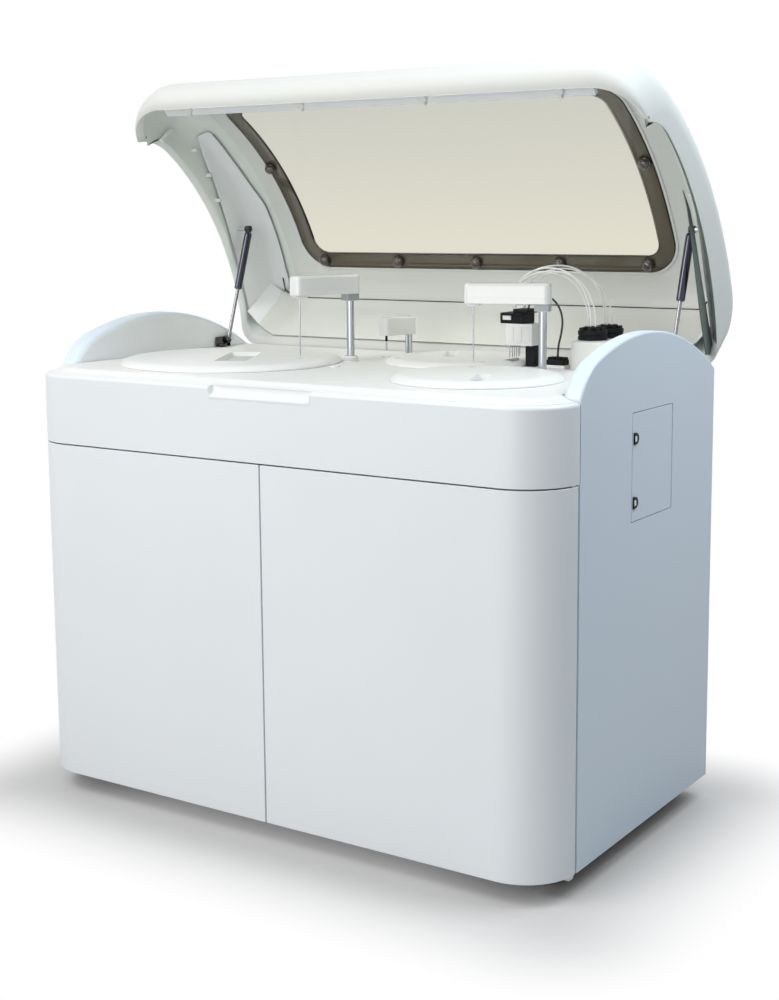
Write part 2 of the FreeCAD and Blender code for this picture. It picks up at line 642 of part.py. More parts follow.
def disc_cover(disc):
    """A lift-off lid with a rounded rim, a sunk finger grip and holes for the probes."""
    name = disc + "_cover"
    low = "deck_top + cover_gap"
    plate = rod(name + "_plate", f"{disc}_cover_radius", "cover_height", f"{disc}_across",
                f"{disc}_back", low)
    top = s.deck_top + s.cover_gap + s.cover_height
    plate = rounded(name + "_rounded", plate, s.cover_round,
                    lambda m, way, e: m.z > top - s.fillet_margin
                    and e.Curve.TypeId == "Part::GeomCircle")
    radius = getattr(s, f"{disc}_cover_radius")
    centre = Vector(getattr(s, f"{disc}_across"), getattr(s, f"{disc}_back"), 0)
    length, width = radius * GRIP_LENGTH_SHARE, radius * GRIP_WIDTH_SHARE
    grip = Part.makeBox(width, length, s.grip_depth + s.cut_overrun,
                        Vector(-width / 2, -length / 2, top - s.grip_depth))
    grip = grip.makeFillet(s.grip_round, [e for e in grip.Edges
                                          if abs(e.tangentAt(e.FirstParameter).z) > 0.999])
    grip.rotate(Vector(), Vector(0, 0, 1), s.grip_turn)
    grip.translate(centre)
    cutters = [feature(name + "_grip", grip)]
    points = arm_points()
    for place in COVER_HOLES[disc]:
        cutters.append(hole_at(f"{name}_{place}", points[place], s.probe_hole_radius,
                               s.deck_top - s.cut_overrun, top + s.cut_overrun))
    if disc == "reaction":
        slot = Part.makeBox(s.wash_slot_width, s.wash_slot_length, 2 * s.cut_overrun,
                            Vector(centre.x + s.cuvette_ring - s.wash_slot_width / 2,
                                   centre.y - s.wash_slot_length / 2, s.deck_top - s.seam))
        cutters.append(feature(name + "_wash_slot", slot))
    return node(name, cut(name + "_cut", plate, *cutters))


# Discs, pots and their motors under the deck


def pot(disc):
    name = disc + "_pot"
    radius = f"{disc}_cover_radius - cover_lap"
    centre = (f"{disc}_across", f"{disc}_back")
    body = rod(name + "_wall", f"{radius} + pot_wall", "pot_depth", *centre,
               "fascia_top - pot_depth")
    room = rod(name + "_room", radius, "pot_depth", *centre,
               "fascia_top - pot_depth + pot_wall")
    hole = rod(name + "_hole", "axle_radius + seam", "pot_wall * 2", *centre,
               "fascia_top - pot_depth - pot_wall / 2")
    return node(name, cut(name + "_cup", body, room, hole))


def disc_motors():
    motors = []
    for disc in DISCS:
        centre = (f"{disc}_across", f"{disc}_back")
        body = rod(f"{disc}_motor_body", "motor_radius",
                   "fascia_top - pot_depth - bench_top", *centre, "bench_top")
        bore = rod(f"{disc}_motor_bore", "axle_radius + running_gap", "pot_depth", *centre,
                   "fascia_top - pot_depth - axle_reach - motor_gap")
        motors.append(cut(f"{disc}_motor", body, bore))
    return node("disc_motors", *motors)


def turning_disc(disc, height, holes):
    """A carousel: an axle and hub between a floor plate and a pierced top plate."""
    low = "fascia_top - pot_depth + pot_wall + disc_gap"
    centre = (f"{disc}_across", f"{disc}_back")
    rim = f"{disc}_cover_radius - cover_lap - disc_gap"
    floor = rod(f"{disc}_floor", rim, "disc_plate", *centre, low)
    top = rod(f"{disc}_top", rim, "disc_plate", *centre, f"{low} + {height} - disc_plate")
    hub = rod(f"{disc}_hub", "hub_radius", height, *centre, low)
    axle = rod(f"{disc}_axle", "axle_radius",
               "axle_reach + pot_wall + disc_gap + disc_plate", *centre,
               "fascia_top - pot_depth - axle_reach")
    body = fuse(f"{disc}_disc", floor, top, hub, axle)
    return cut(f"{disc}_pierced", body, *holes)


def pocket_ring(disc, ring, radius, count, height, start):
    low = s.fascia_top - s.pot_depth + s.pot_wall + s.disc_gap + height - 2 * s.disc_plate
    centre = (getattr(s, f"{disc}_across"), getattr(s, f"{disc}_back"))
    return [
        hole_at(f"{disc}_pocket_{index}", around(*centre, ring, start + index * 360 / count),
                radius, low, low + 3 * s.disc_plate)
        for index in range(int(count))
    ]


def carousels():
    rest = arm_points()["reagent_rest"] - Vector(s.reagent_across, s.reagent_back, 0)
    start = math.degrees(math.atan2(rest.y, rest.x))
    bottles = pocket_ring("reagent", s.reagent_ring, s.bottle_pocket_radius, s.bottle_pockets,
                          s.reagent_tray_height, start)
    node("reagent_tray", turning_disc("reagent", "reagent_tray_height", bottles))
    tubes = pocket_ring("sample", s.sample_ring, s.tube_pocket_radius, s.tube_pockets,
                        s.sample_tray_height, 0)
    node("sample_tray", turning_disc("sample", "sample_tray_height", tubes))


def reaction_rotor():
    """A plate and hub that carry the ring of cuvettes on its rim."""
    centre = ("reaction_across", "reaction_back")
    low = "fascia_top - pot_depth + pot_wall + disc_gap"
    outer = "cuvette_ring + cuvette_half_width"
    inner = "cuvette_ring - cuvette_half_width"
    plate = rod("rotor_plate", outer, "disc_plate", *centre, low)
    hub = rod("rotor_hub", "hub_radius", "rotor_height", *centre, low)
    axle = rod("rotor_axle", "axle_radius", "axle_reach + pot_wall + disc_gap + disc_plate",
               *centre, "fascia_top - pot_depth - axle_reach")
    wall = rod("rotor_wall", inner, "rotor_height - cuvette_depth", *centre, low)
    room = rod("rotor_room", f"{inner} - cuvette_wall", "rotor_height", *centre,
               f"{low} + disc_plate")
    rim = cut("rotor_rim", wall, room)
    node("reaction_rotor", fuse("rotor", plate, hub, axle, rim))
    base = f"{low} + disc_plate"
    ring = rod("cuvette_outer", outer, "rotor_height - disc_plate", *centre, base)
    core = rod("cuvette_core", f"{inner} + cover_gap", "rotor_height", *centre, base)
    groove_low = f"{low} + rotor_height - cuvette_depth"
    groove_outer = rod("groove_outer", f"{outer} - cuvette_wall", "cuvette_depth * 2", *centre,
                       groove_low)
    groove_core = rod("groove_core", f"{inner} + cuvette_wall", "cuvette_depth * 2", *centre,
                      groove_low)
    groove = cut("cuvette_groove", groove_outer, groove_core)
    node("cuvette_ring", cut("cuvettes", ring, core, groove))


# Arms: a guide on the bench plate, a carriage that lifts, and an arm that turns


ARMS = {
    # arm: place words, probe's rest point, direction of its guide rod, carriage level
    "reagent": ("reagent_arm", "reagent_rest", 33.4, "carriage_low"),
    "sample": ("sample_arm", "sample_rest", 78.7, "carriage_low"),
    "mixer": ("mixer", "mixer_rest", 157.6, "mixer_carriage_low"),
}


def guide_point(arm):
    word, _, way, _ = ARMS[arm]
    return around(getattr(s, word + "_across"), getattr(s, word + "_back"), s.guide_spacing,
                  way)


def shaft_bore(arm):
    return s.twin_hole_radius - s.carriage_motor_wall if arm == "mixer" else s.shaft_radius


def lift_columns():
    """The arms' guide rods on the bench plate, and the wash station's post on the deck."""
    columns = []
    for arm in ARMS:
        point = guide_point(arm)
        foot = Part.makeCylinder(s.guide_foot_radius, s.guide_foot,
                                 Vector(point.x, point.y, s.bench_top))
        post = Part.makeCylinder(s.guide_radius, s.fascia_top - s.bench_top,
                                 Vector(point.x, point.y, s.bench_top))
        columns.append(feature(f"{arm}_guide", foot.fuse(post)))
    columns.append(box("wash_post", "wash_column_across - wash_column_width / 2",
                       "wash_column_back - wash_column_width / 2", "deck_top",
                       "wash_column_width", "wash_column_width", "wash_column_height"))
    return node("lift_columns", *columns)


def carriage(arm):
    """A block with one bore on its guide rod and one round the arm's shaft."""
    word, _, way, level = ARMS[arm]
    low = getattr(s, level)
    axis = Vector(getattr(s, word + "_across"), getattr(s, word + "_back"), low)
    guide = guide_point(arm) + Vector(0, 0, low)
    bore = shaft_bore(arm)
    shaft_lug = Part.makeCylinder(bore + s.carriage_wall, s.carriage_height, axis)
    guide_lug = Part.makeCylinder(s.guide_radius + s.carriage_wall, s.carriage_height, guide)
    web = Part.makeBox(s.guide_spacing, 2 * s.guide_radius, s.carriage_height,
                       Vector(0, -s.guide_radius, 0))
    web.rotate(Vector(), Vector(0, 0, 1), way)
    web.translate(axis)
    motor_low = axis - Vector(0, 0, s.carriage_motor_length)
    motor = Part.makeCylinder(bore + s.carriage_motor_wall, s.carriage_motor_length,
                              motor_low)
    body = shaft_lug.fuse([guide_lug, web, motor])
    room = Part.makeCylinder(bore + s.running_gap, s.pot_depth,
                             motor_low + Vector(0, 0, s.carriage_motor_wall))
    slide = Part.makeCylinder(s.guide_radius + s.running_gap, 2 * s.pot_depth,
                              guide - Vector(0, 0, s.pot_depth))
    return node(f"{arm}_carriage", feature(f"{arm}_carriage_body", body.cut(room).cut(slide)))


def arm_case(arm, width, thickness, overhang):
    """The moulded arm cover, from behind its shaft to beyond its probe."""
    word = ARMS[arm][0]
    reach = getattr(s, word + "_reach")
    low = getattr(s, word + "_height")
    case = Part.makeBox(reach + 2 * overhang, width, thickness,
                        Vector(-overhang, -width / 2, 0))
    round_ends = [e for e in case.Edges if abs(e.tangentAt(e.FirstParameter).z) > 0.999]
    case = case.makeFillet(width / 2 - s.arm_round, round_ends)
    case = case.makeFillet(s.arm_round, [e for e in case.Edges
                                         if e.BoundBox.ZMin > thickness - s.running_gap])
    case.rotate(Vector(), Vector(0, 0, 1), getattr(s, word + "_turn"))
    case.translate(Vector(getattr(s, word + "_across"), getattr(s, word + "_back"), low))
    return case


def probe_arm(arm):
    word, place, _, level = ARMS[arm]
    point = arm_points()[place]
    axis = Vector(getattr(s, word + "_across"), getattr(s, word + "_back"), 0)
    low = getattr(s, word + "_height")
    shaft_low = getattr(s, level) - s.carriage_motor_length + s.carriage_motor_wall \
        + s.cover_gap
    case = arm_case(arm, s.arm_width, s.arm_thickness, s.arm_overhang)
    seat_low = low - s.collar_height
    collar = Part.makeCylinder(s.collar_radius, s.collar_height,
                               axis + Vector(0, 0, seat_low))
    socket = Part.makeCylinder(s.shaft_radius, s.collar_height + s.probe_in_arm,
                               axis + Vector(0, 0, seat_low))
    needle_socket = Part.makeCylinder(s.probe_radius, s.probe_in_arm,
                                      Vector(point.x, point.y, low))
    body = case.fuse(collar).cut(socket).cut(needle_socket)
    node(f"{arm}_arm", feature(f"{arm}_arm_body", body))
    shaft = Part.makeCylinder(s.shaft_radius, low + s.probe_in_arm - shaft_low,
                              axis + Vector(0, 0, shaft_low))
    node(f"{arm}_arm_shaft", feature(f"{arm}_shaft_rod", shaft))
    needle = Part.makeCylinder(s.probe_radius, low + s.probe_in_arm - s.probe_tip,
                               Vector(point.x, point.y, s.probe_tip))
    node(f"{arm}_probe", feature(f"{arm}_needle", needle))


def mixer_arm():
    """The mixer's case on its twin shafts, and the paddle that spins below it."""
    word, place, _, level = ARMS["mixer"]
    point = arm_points()[place]
    axis = Vector(s.mixer_across, s.mixer_back, 0)
    low = s.mixer_height
    shaft_low = s.mixer_carriage_low - s.carriage_motor_length + s.carriage_motor_wall \
        + s.cover_gap
    case = arm_case("mixer", s.mixer_width, s.mixer_thickness, s.mixer_overhang)
    bearing = Part.makeCylinder(s.probe_radius + s.running_gap, s.probe_in_arm,
                                Vector(point.x, point.y, low))
    plug = Part.makeCylinder(shaft_bore("mixer"), s.fascia_top - s.seam - shaft_low,
                             axis + Vector(0, 0, shaft_low))
    plug = plug.common(Part.makeBox(s.pot_depth, s.pot_depth, s.carriage_height,
                                    axis + Vector(-s.pot_depth / 2, -s.pot_depth / 2,
                                                  shaft_low)))
    shafts = []
    for side in (-1, 1):
        offset = around(0, 0, side * s.twin_spacing / 2, s.mixer_turn + 90)
        shafts.append(Part.makeCylinder(s.twin_shaft_radius, low - shaft_low,
                                        axis + offset + Vector(0, 0, shaft_low)))
    body = case.cut(bearing).fuse([plug] + shafts)
    node("mixer_arm", feature("mixer_arm_body", body))
    stem_high = low + s.probe_in_arm - s.cover_gap
    stem = Part.makeCylinder(s.probe_radius, stem_high - s.probe_tip,
                             Vector(point.x, point.y, s.probe_tip))
    blade = Part.makeBox(s.paddle_width, s.paddle_thickness, s.paddle_height,
                         Vector(point.x - s.paddle_width / 2,
                                point.y - s.paddle_thickness / 2, s.probe_tip))
    node("mixer_paddle", feature("mixer_paddle_body", stem.fuse(blade)))


# Cuvette wash station, raised housing, manifolds


def wash_station():
    block = box("wash_block", "wash_block_left", "wash_block_front", "wash_block_low",
                "wash_block_width", "wash_block_depth", "wash_block_height")
    block = rounded("wash_block_round", block, s.edge_round, upright)
    guide = box("wash_guide", "wash_column_across - wash_column_width / 2 - wash_slide_gap",
                "wash_column_back - wash_column_width / 2 - wash_slide_gap",
                "wash_block_low - cut_overrun", "wash_column_width + 2 * wash_slide_gap",
                "wash_column_width + 2 * wash_slide_gap",
                "wash_block_height + 2 * cut_overrun")
    sockets = [feature(f"needle_socket_{index}",
                       Part.makeCylinder(s.wash_needle_radius, s.probe_in_arm,
                                         Vector(p.x, p.y, s.wash_block_low)))
               for index, p in enumerate(wash_needle_points())]
    node("wash_head", cut("wash_head_cut", block, guide, *sockets))
    top = "wash_block_low + wash_block_height"
    bracket = box("wash_bracket", "wash_bracket_left", "wash_block_front", top,
                  "wash_bracket_width", "wash_block_depth", "wash_bracket_height")
    pocket = box("wash_bracket_pocket", "wash_bracket_left + wash_bracket_wall",
                 "wash_block_front - cut_overrun", f"{top} + wash_bracket_wall",
                 "wash_bracket_width - 2 * wash_bracket_wall",
                 "wash_bracket_wall + cut_overrun", "wash_bracket_height - 2 * wash_bracket_wall")
    clear = box("wash_bracket_clear",
                "wash_column_across - wash_column_width / 2 - wash_slide_gap",
                "wash_column_back - wash_column_width / 2 - wash_slide_gap", top,
                "wash_column_width + 2 * wash_slide_gap",
                "wash_column_width + 2 * wash_slide_gap", "wash_bracket_height / 2")
    node("wash_bracket", cut("wash_bracket_cut", bracket, pocket, clear))
    needles = [feature(f"wash_needle_{index}",
                       Part.makeCylinder(s.wash_needle_radius,
                                         s.wash_block_low + s.probe_in_arm - s.probe_tip,
                                         Vector(p.x, p.y, s.probe_tip)))
               for index, p in enumerate(wash_needle_points())]
    node("wash_needles", *needles)


def wash_needle_points():
    first = -s.wash_needle_step * (s.wash_needles - 1) / 2
    return [around(s.reaction_across, s.reaction_back, s.cuvette_ring,
                   first + index * s.wash_needle_step) for index in range(int(s.wash_needles))]


def raised_housing():
    body = box("housing_block", "housing_left", "housing_front", "deck_top",
               "body_width - strut_across - strut_cylinder_radius - housing_gap"
               " - housing_left",
               "housing_rear - housing_front", "housing_height")
    body = rounded("housing_corner", body, s.housing_round,
                   lambda m, way, e: upright(m, way, e) and m.x < s.housing_left + s.seam)
    top = s.deck_top + s.housing_height
    body = rounded("housing", body, s.edge_round,
                   lambda m, way, e: m.z > top - s.fillet_margin)
    return node("raised_housing", body)


def tube_manifolds():
    pieces = []
    for name in ("front_manifold", "rear_manifold"):
        centre = (f"{name}_across", f"{name}_back")
        base = "deck_top + housing_height"
        pieces.append(fuse(name, rod(name + "_base", "manifold_radius", "manifold_height",
                                     *centre, base),
                           rod(name + "_lid", "manifold_lid_radius", "manifold_lid", *centre,
                               f"{base} + manifold_height")))
    pieces.append(box("deck_plug", "plug_across - plug_width / 2", "plug_back - plug_depth / 2",
                      "deck_top", "plug_width", "plug_depth", "plug_height"))
    return node("tube_manifolds", *pieces)


# Free tubes and the cable: straight runs joined by the largest arcs that fit


TUBE_FROM = ((866, 538), (872, 531), (878, 524), (884, 517), (890, 541), (896, 534))
TUBE_TO = ((1030, 556), (1038, 550), (1046, 556), (1033, 624), (1041, 618), (1049, 624))
TUBE_RISE = (1048, 1058, 1052, 1062, 1056, 1049)
TUBE_ENDS = (972, 946)
TUBE_SHARES = ((0.0, 0.30), (0.03, 0.58), (0.12, 0.86), (0.29, 1.02), (0.50, 1.06),
               (0.70, 0.98), (0.87, 0.76), (0.965, 0.46), (1.0, 0.20))
ARC_SHARE = 0.45
CABLE_ROUTE = ((914, 516, 972), (914, 516, 990), (932, 516, 1008), (956, 518, 1009),
               (978, 520, 994), (990, 522, 966), (988, 521, 934), (980, 520, 905),
               (980, 520, 882))


def tube_route(index):
    """The points of one wash tube, from the bracket up and over to its manifold."""
    (x0, y0), (x1, y1) = TUBE_FROM[index], TUBE_TO[index]
    high = TUBE_RISE[index]
    start, end = TUBE_ENDS
    points = [Vector(x0, y0, start)]
    for along, up in TUBE_SHARES:
        base = start + (end - start) * along
        points.append(Vector(x0 + (x1 - x0) * along, y0 + (y1 - y0) * along,
                             base + (high - base) * up))
    points.append(Vector(x1, y1, end))
    return points


def bent_tube(name, points, radius):
    """A tube along straight runs, each pair joined by an arc that leaves both runs a share."""
    edges = []
    radii = []
    last = points[0]
    for before, corner, after in zip(points, points[1:], points[2:]):
        back, on = before - corner, after - corner
        trim = ARC_SHARE * min(back.Length, on.Length)
        turn = math.pi - back.getAngle(on)
        bend = trim / math.tan(turn / 2)
        radii.append(bend)
        first = corner + Vector(back).normalize() * trim
        end = corner + Vector(on).normalize() * trim
        centre_way = (Vector(back).normalize() + Vector(on).normalize()).normalize()
        middle = corner + centre_way * (bend / math.cos(turn / 2) - bend)
        edges.append(Part.LineSegment(last, first).toShape())
        edges.append(Part.Arc(first, middle, end).toShape())
        last = end
    edges.append(Part.LineSegment(last, points[-1]).toShape())
    spine = Part.Wire(edges)
    section = Part.Wire(Part.Circle(points[0], points[1] - points[0], radius).toShape())
    solid = spine.makePipeShell([section], True, False)
    wanted = math.pi * radius ** 2 * spine.Length
    print(name, "least arc", round(min(radii), 1), "length", round(spine.Length, 1),
          "volume share", round(solid.Volume / wanted, 4))
    return feature(name, solid)


def tubes_and_cable():
    tubes = [bent_tube(f"wash_tube_{index}", tube_route(index), s.tube_radius)
             for index in range(len(TUBE_FROM))]
    node("wash_tubes", *tubes)
    route = [Vector(*point) for point in CABLE_ROUTE]
    node("wash_cable", bent_tube("wash_cable_run", route, s.cable_radius))


# Lid: a hood with rounded ends, its window, knobs, light bar and liners


def roof_radius():
    """The roof's radius, from the front arc and the crown that it must touch."""
    aside = s.hood_front_radius - s.hood_crown_depth
    drop = s.hood_crown_height - s.hood_front_top
    small = s.hood_front_radius
    return (aside ** 2 + drop ** 2 - small ** 2) / (2 * (drop - small))


def roof_centre():
    return Vector(0, s.hood_crown_depth, s.hood_crown_height - roof_radius())


def hood_section(across, front, lowered, back, low):
    """The hood's closed outline at one place across, with its walls drawn in."""
    centre = roof_centre()
    radius = roof_radius() - lowered
    front_radius = s.hood_front_radius
    rear_radius = s.hood_rear_radius

    def arc_centre(depth, small):
        return Vector(0, depth, centre.z + math.sqrt((radius - small) ** 2
                                                     - (depth - centre.y) ** 2))

    front_centre = arc_centre(front + front_radius, front_radius)
    rear_centre = arc_centre(back - rear_radius, rear_radius)
    front_way = (front_centre - centre).normalize()
    rear_way = (rear_centre - centre).normalize()
    start = Vector(0, front, front_centre.z)
    join = centre + front_way * radius
    leave = centre + rear_way * radius
    end = Vector(0, back, rear_centre.z)
    front_middle = front_centre + (front_way + Vector(0, -1, 0)).normalize() * front_radius
    rear_middle = rear_centre + (rear_way + Vector(0, 1, 0)).normalize() * rear_radius
    crown = centre + (front_way + rear_way).normalize() * radius
    foot, heel = Vector(0, front, low), Vector(0, back, low)
    edges = [Part.LineSegment(foot, start), Part.Arc(start, front_middle, join),
             Part.Arc(join, crown, leave), Part.Arc(leave, rear_middle, end),
             Part.LineSegment(end, heel), Part.LineSegment(heel, foot)]
    wire = Part.Wire([edge.toShape() for edge in edges])
    wire.translate(Vector(across, 0, 0))
    return wire


def corner_inset(radius, across):
    """How far a rounded corner draws a wall in, at a distance from its side."""
    if across >= radius:
        return 0
    return radius - math.sqrt(radius ** 2 - (radius - across) ** 2)


END_STEPS = 6


def hood_block(side, front, top, back, low):
    """The hood as a solid block: two lofted ends and a straight middle between them."""
    edge_radius = s.hood_edge_radius - side
    corner = s.corner_radius - side
    rear_corner = s.hood_rear_corner - side / 2
    sections = []
    for step in range(END_STEPS + 1):
        angle = math.pi / 2 * step / END_STEPS
        across = edge_radius * (1 - math.cos(angle))
        sections.append((across, edge_radius * (1 - math.sin(angle))))
    sections.append((corner, 0))
    wires = [hood_section(side + across, front + corner_inset(corner, across), top + lowered,
                          s.hood_back - back - corner_inset(rear_corner, across), low)
             for across, lowered in sections]
    left = Part.makeLoft(wires, True, False)
    middle_face = Part.Face(hood_section(side + corner, front, top, s.hood_back - back, low))
    middle = middle_face.extrude(Vector(s.body_width - 2 * (side + corner), 0, 0))
    right = left.mirror(Vector(s.body_width / 2, 0, 0), Vector(1, 0, 0))
    return left.fuse([middle, right])


def window_prism(lap):
    """The window's outline as an upright prism, grown outward by a lap."""
    left = s.window_left - lap
    prism = Part.makeBox(s.body_width - 2 * left, s.window_rear - s.window_front + 2 * lap,
                         s.hood_crown_height, Vector(left, s.window_front - lap, s.window_low))
    return prism.makeFillet(s.window_round + lap, [
        e for e in prism.Edges if abs(e.tangentAt(e.FirstParameter).z) > 0.999])


def under_ear_curve(gap):
    """Everything below the lid's lower edge, which follows the ears at a gap."""
    face = side_profile(gap, -s.cut_overrun, 0, s.body_depth + s.cut_overrun,
                        s.fascia_top + gap)
    face.translate(Vector(-s.cut_overrun, 0, 0))
    return face.extrude(Vector(s.body_width + 2 * s.cut_overrun, 0, 0))


def hood_parts():
    low = s.fascia_top - s.cut_overrun
    outer = hood_block(0, 0, 0, 0, low)
    inner = hood_block(s.hood_wall, s.hood_front_wall, s.hood_wall, s.hood_wall,
                       low - s.cut_overrun)
    below = under_ear_curve(s.hood_gap)
    shell = outer.cut(inner).cut(below).cut(window_prism(0))
    lid_node("hood_shell", feature("hood_shell_body", shell))
    gap = s.hood_wall + s.pane_gap
    thick = gap + s.pane_thickness
    outer_pane = hood_block(gap, s.hood_front_wall + s.pane_gap, gap, gap, low)
    inner_pane = hood_block(thick, s.hood_front_wall + s.pane_gap + s.pane_thickness, thick,
                            thick, low - s.cut_overrun)
    pane = outer_pane.cut(inner_pane).common(
        window_prism(s.pane_lap))
    lid_node("hood_window", feature("pane", pane))


def roof_rod(name, across, depth, radius, length, inset):
    """A short rod square to the roof, hanging from a depth below its outside."""
    centre = roof_centre()
    lean = math.asin((depth - centre.y) / (roof_radius() - inset))
    way = Vector(0, math.sin(lean), math.cos(lean))
    base = centre + way * (roof_radius() - inset - length) + Vector(across, 0, 0)
    return feature(name, Part.makeCylinder(radius, length, base, way))


def window_knobs():
    inset = s.hood_wall + 2 * s.pane_gap + s.pane_thickness
    knobs = []
    left = s.window_left + s.knob_inset
    for row, depth in (("rear", s.window_rear + s.knob_inset),
                       ("front", s.window_front - s.knob_inset / 2)):
        for index in range(int(s.knob_rows)):
            across = left + index * (s.body_width - 2 * left) / (s.knob_rows - 1)
            knobs.append(roof_rod(f"{row}_knob_{index}", across, depth, s.knob_radius,
                                  s.knob_height, inset))
    side = s.window_left - s.knob_inset
    for name, across in (("left_knob", side), ("right_knob", s.body_width - side)):
        knobs.append(roof_rod(name, across, (s.window_front + s.window_rear) / 2 - s.pane_lap,
                              s.knob_radius, s.knob_height, inset))
    return lid_node("window_knobs", *knobs)


def light_bar():
    bar = box("strip", "body_width / 2 - strip_half_length", "hood_front_wall + pane_gap",
              "strip_low", "2 * strip_half_length", "strip_width", "strip_height")
    clips = [
        box(f"strip_clip_{index}", f"body_width / 2 + clip_gap * {index - 1.5} - clip_length / 2",
            "hood_front_wall + pane_gap", "strip_low - clip_thickness", "clip_length",
            "strip_width", "clip_thickness")
        for index in range(4)
    ]
    return lid_node("light_bar", bar, *clips)


def hood_liners():
    """A thin trim panel inside each cheek, and one across the hood's back wall."""
    room = hood_block(s.hood_wall + s.pane_gap, s.liner_front, s.liner_top_inset,
                      s.hood_back - s.liner_rear, s.fascia_top - s.cut_overrun)
    above = room.cut(under_ear_curve(s.liner_edge_inset))
    panels = []
    for side in ("left", "right"):
        start = s.hood_wall + s.pane_gap
        if side == "right":
            start = s.body_width - start - s.liner_thickness
        slab = Part.makeBox(s.liner_thickness, s.body_depth, s.hood_crown_height,
                            Vector(start, 0, 0))
        stud_hole = Part.makeCylinder(
            s.stud_radius + s.cover_gap, s.liner_thickness,
            Vector(start, s.strut_top_depth, s.strut_top_height), Vector(1, 0, 0))
        panels.append(feature(f"{side}_cheek_liner", above.common(slab).cut(stud_hole)))
    front = s.hood_back - s.hood_wall - s.pane_gap - s.liner_thickness
    side, corner = s.back_liner_side, s.back_liner_corner
    right = s.body_width - side
    outline = [Vector(side, front, s.back_liner_low), Vector(right, front, s.back_liner_low),
               Vector(right, front, s.back_liner_high - corner),
               Vector(right - corner, front, s.back_liner_high),
               Vector(side + corner, front, s.back_liner_high),
               Vector(side, front, s.back_liner_high - corner)]
    face = Part.Face(Part.makePolygon(outline + outline[:1]))
    panels.append(feature("back_liner", face.extrude(Vector(0, s.liner_thickness, 0))))
    return lid_node("hood_liners", *panels)


# Lid hinges and gas struts


def lid_hinges():
    """The hood's hinge leaves and strut studs; returns the brackets that carry its pins."""
    brackets, leaves = [], []
    inner = "frame_inset + tube_width"
    for side in ("left", "right"):
        left = side == "left"
        place = inner if left else on_right(f"{inner} + lid_bracket_width")
        block = box(f"{side}_lid_bracket_block", place, "lid_bracket_front",
                    "rear_panel_top + seam", "lid_bracket_width",
                    "hinge_depth + lid_bracket_reach - lid_bracket_front",
                    "fascia_top - rear_panel_top - 2 * seam")
        pin_start = place if left else on_right("lid_leaf_left + lid_leaf_width")
        pin_length = f"lid_leaf_left + lid_leaf_width - ({inner})"
        pin = rod(f"{side}_lid_pin", "lid_pin_radius", pin_length, pin_start, "hinge_depth",
                  "hinge_height", "x")
        brackets.append(fuse(f"{side}_lid_bracket", block, pin))
        leaf_left = "lid_leaf_left" if left else on_right("lid_leaf_left + lid_leaf_width")
        plate = box(f"{side}_leaf_plate", leaf_left, "hood_back + lid_leaf_gap", "hinge_height",
                    "lid_leaf_width", "lid_leaf_thickness", "lid_leaf_high - hinge_height")
        barrel = rod(f"{side}_barrel", "lid_barrel_radius", "lid_leaf_width", leaf_left,
                     "hinge_depth", "hinge_height", "x")
        bore = rod(f"{side}_barrel_bore", "lid_pin_radius + running_gap",
                   "lid_leaf_width + 2 * cut_overrun", f"{leaf_left} - cut_overrun",
                   "hinge_depth", "hinge_height", "x")
        leaves.append(cut(f"{side}_leaf", fuse(f"{side}_leaf_blank", plate, barrel), bore))
    studs = []
    for side in ("left", "right"):
        start = "hood_wall" if side == "left" else \
            on_right("strut_across - strut_cylinder_radius - stud_gap")
        studs.append(rod(f"{side}_stud", "stud_radius",
                         "strut_across - strut_cylinder_radius - stud_gap - hood_wall", start,
                         "strut_top_depth", "strut_top_height", "x"))
    lid_node("hood_fittings", *leaves, *studs)
    return brackets


def strut_line():
    """The strut's lower pivot, its direction with the lid open, and its open length."""
    low = Vector(0, s.strut_low_depth, s.strut_low_height)
    hinge = Vector(0, s.hinge_depth, s.hinge_height)
    turn = FreeCAD.Rotation(Vector(-1, 0, 0), s.lid_angle)
    top = turn.multVec(Vector(0, s.strut_top_depth, s.strut_top_height) - hinge) + hinge
    line = top - low
    return low, Vector(line).normalize(), line.Length


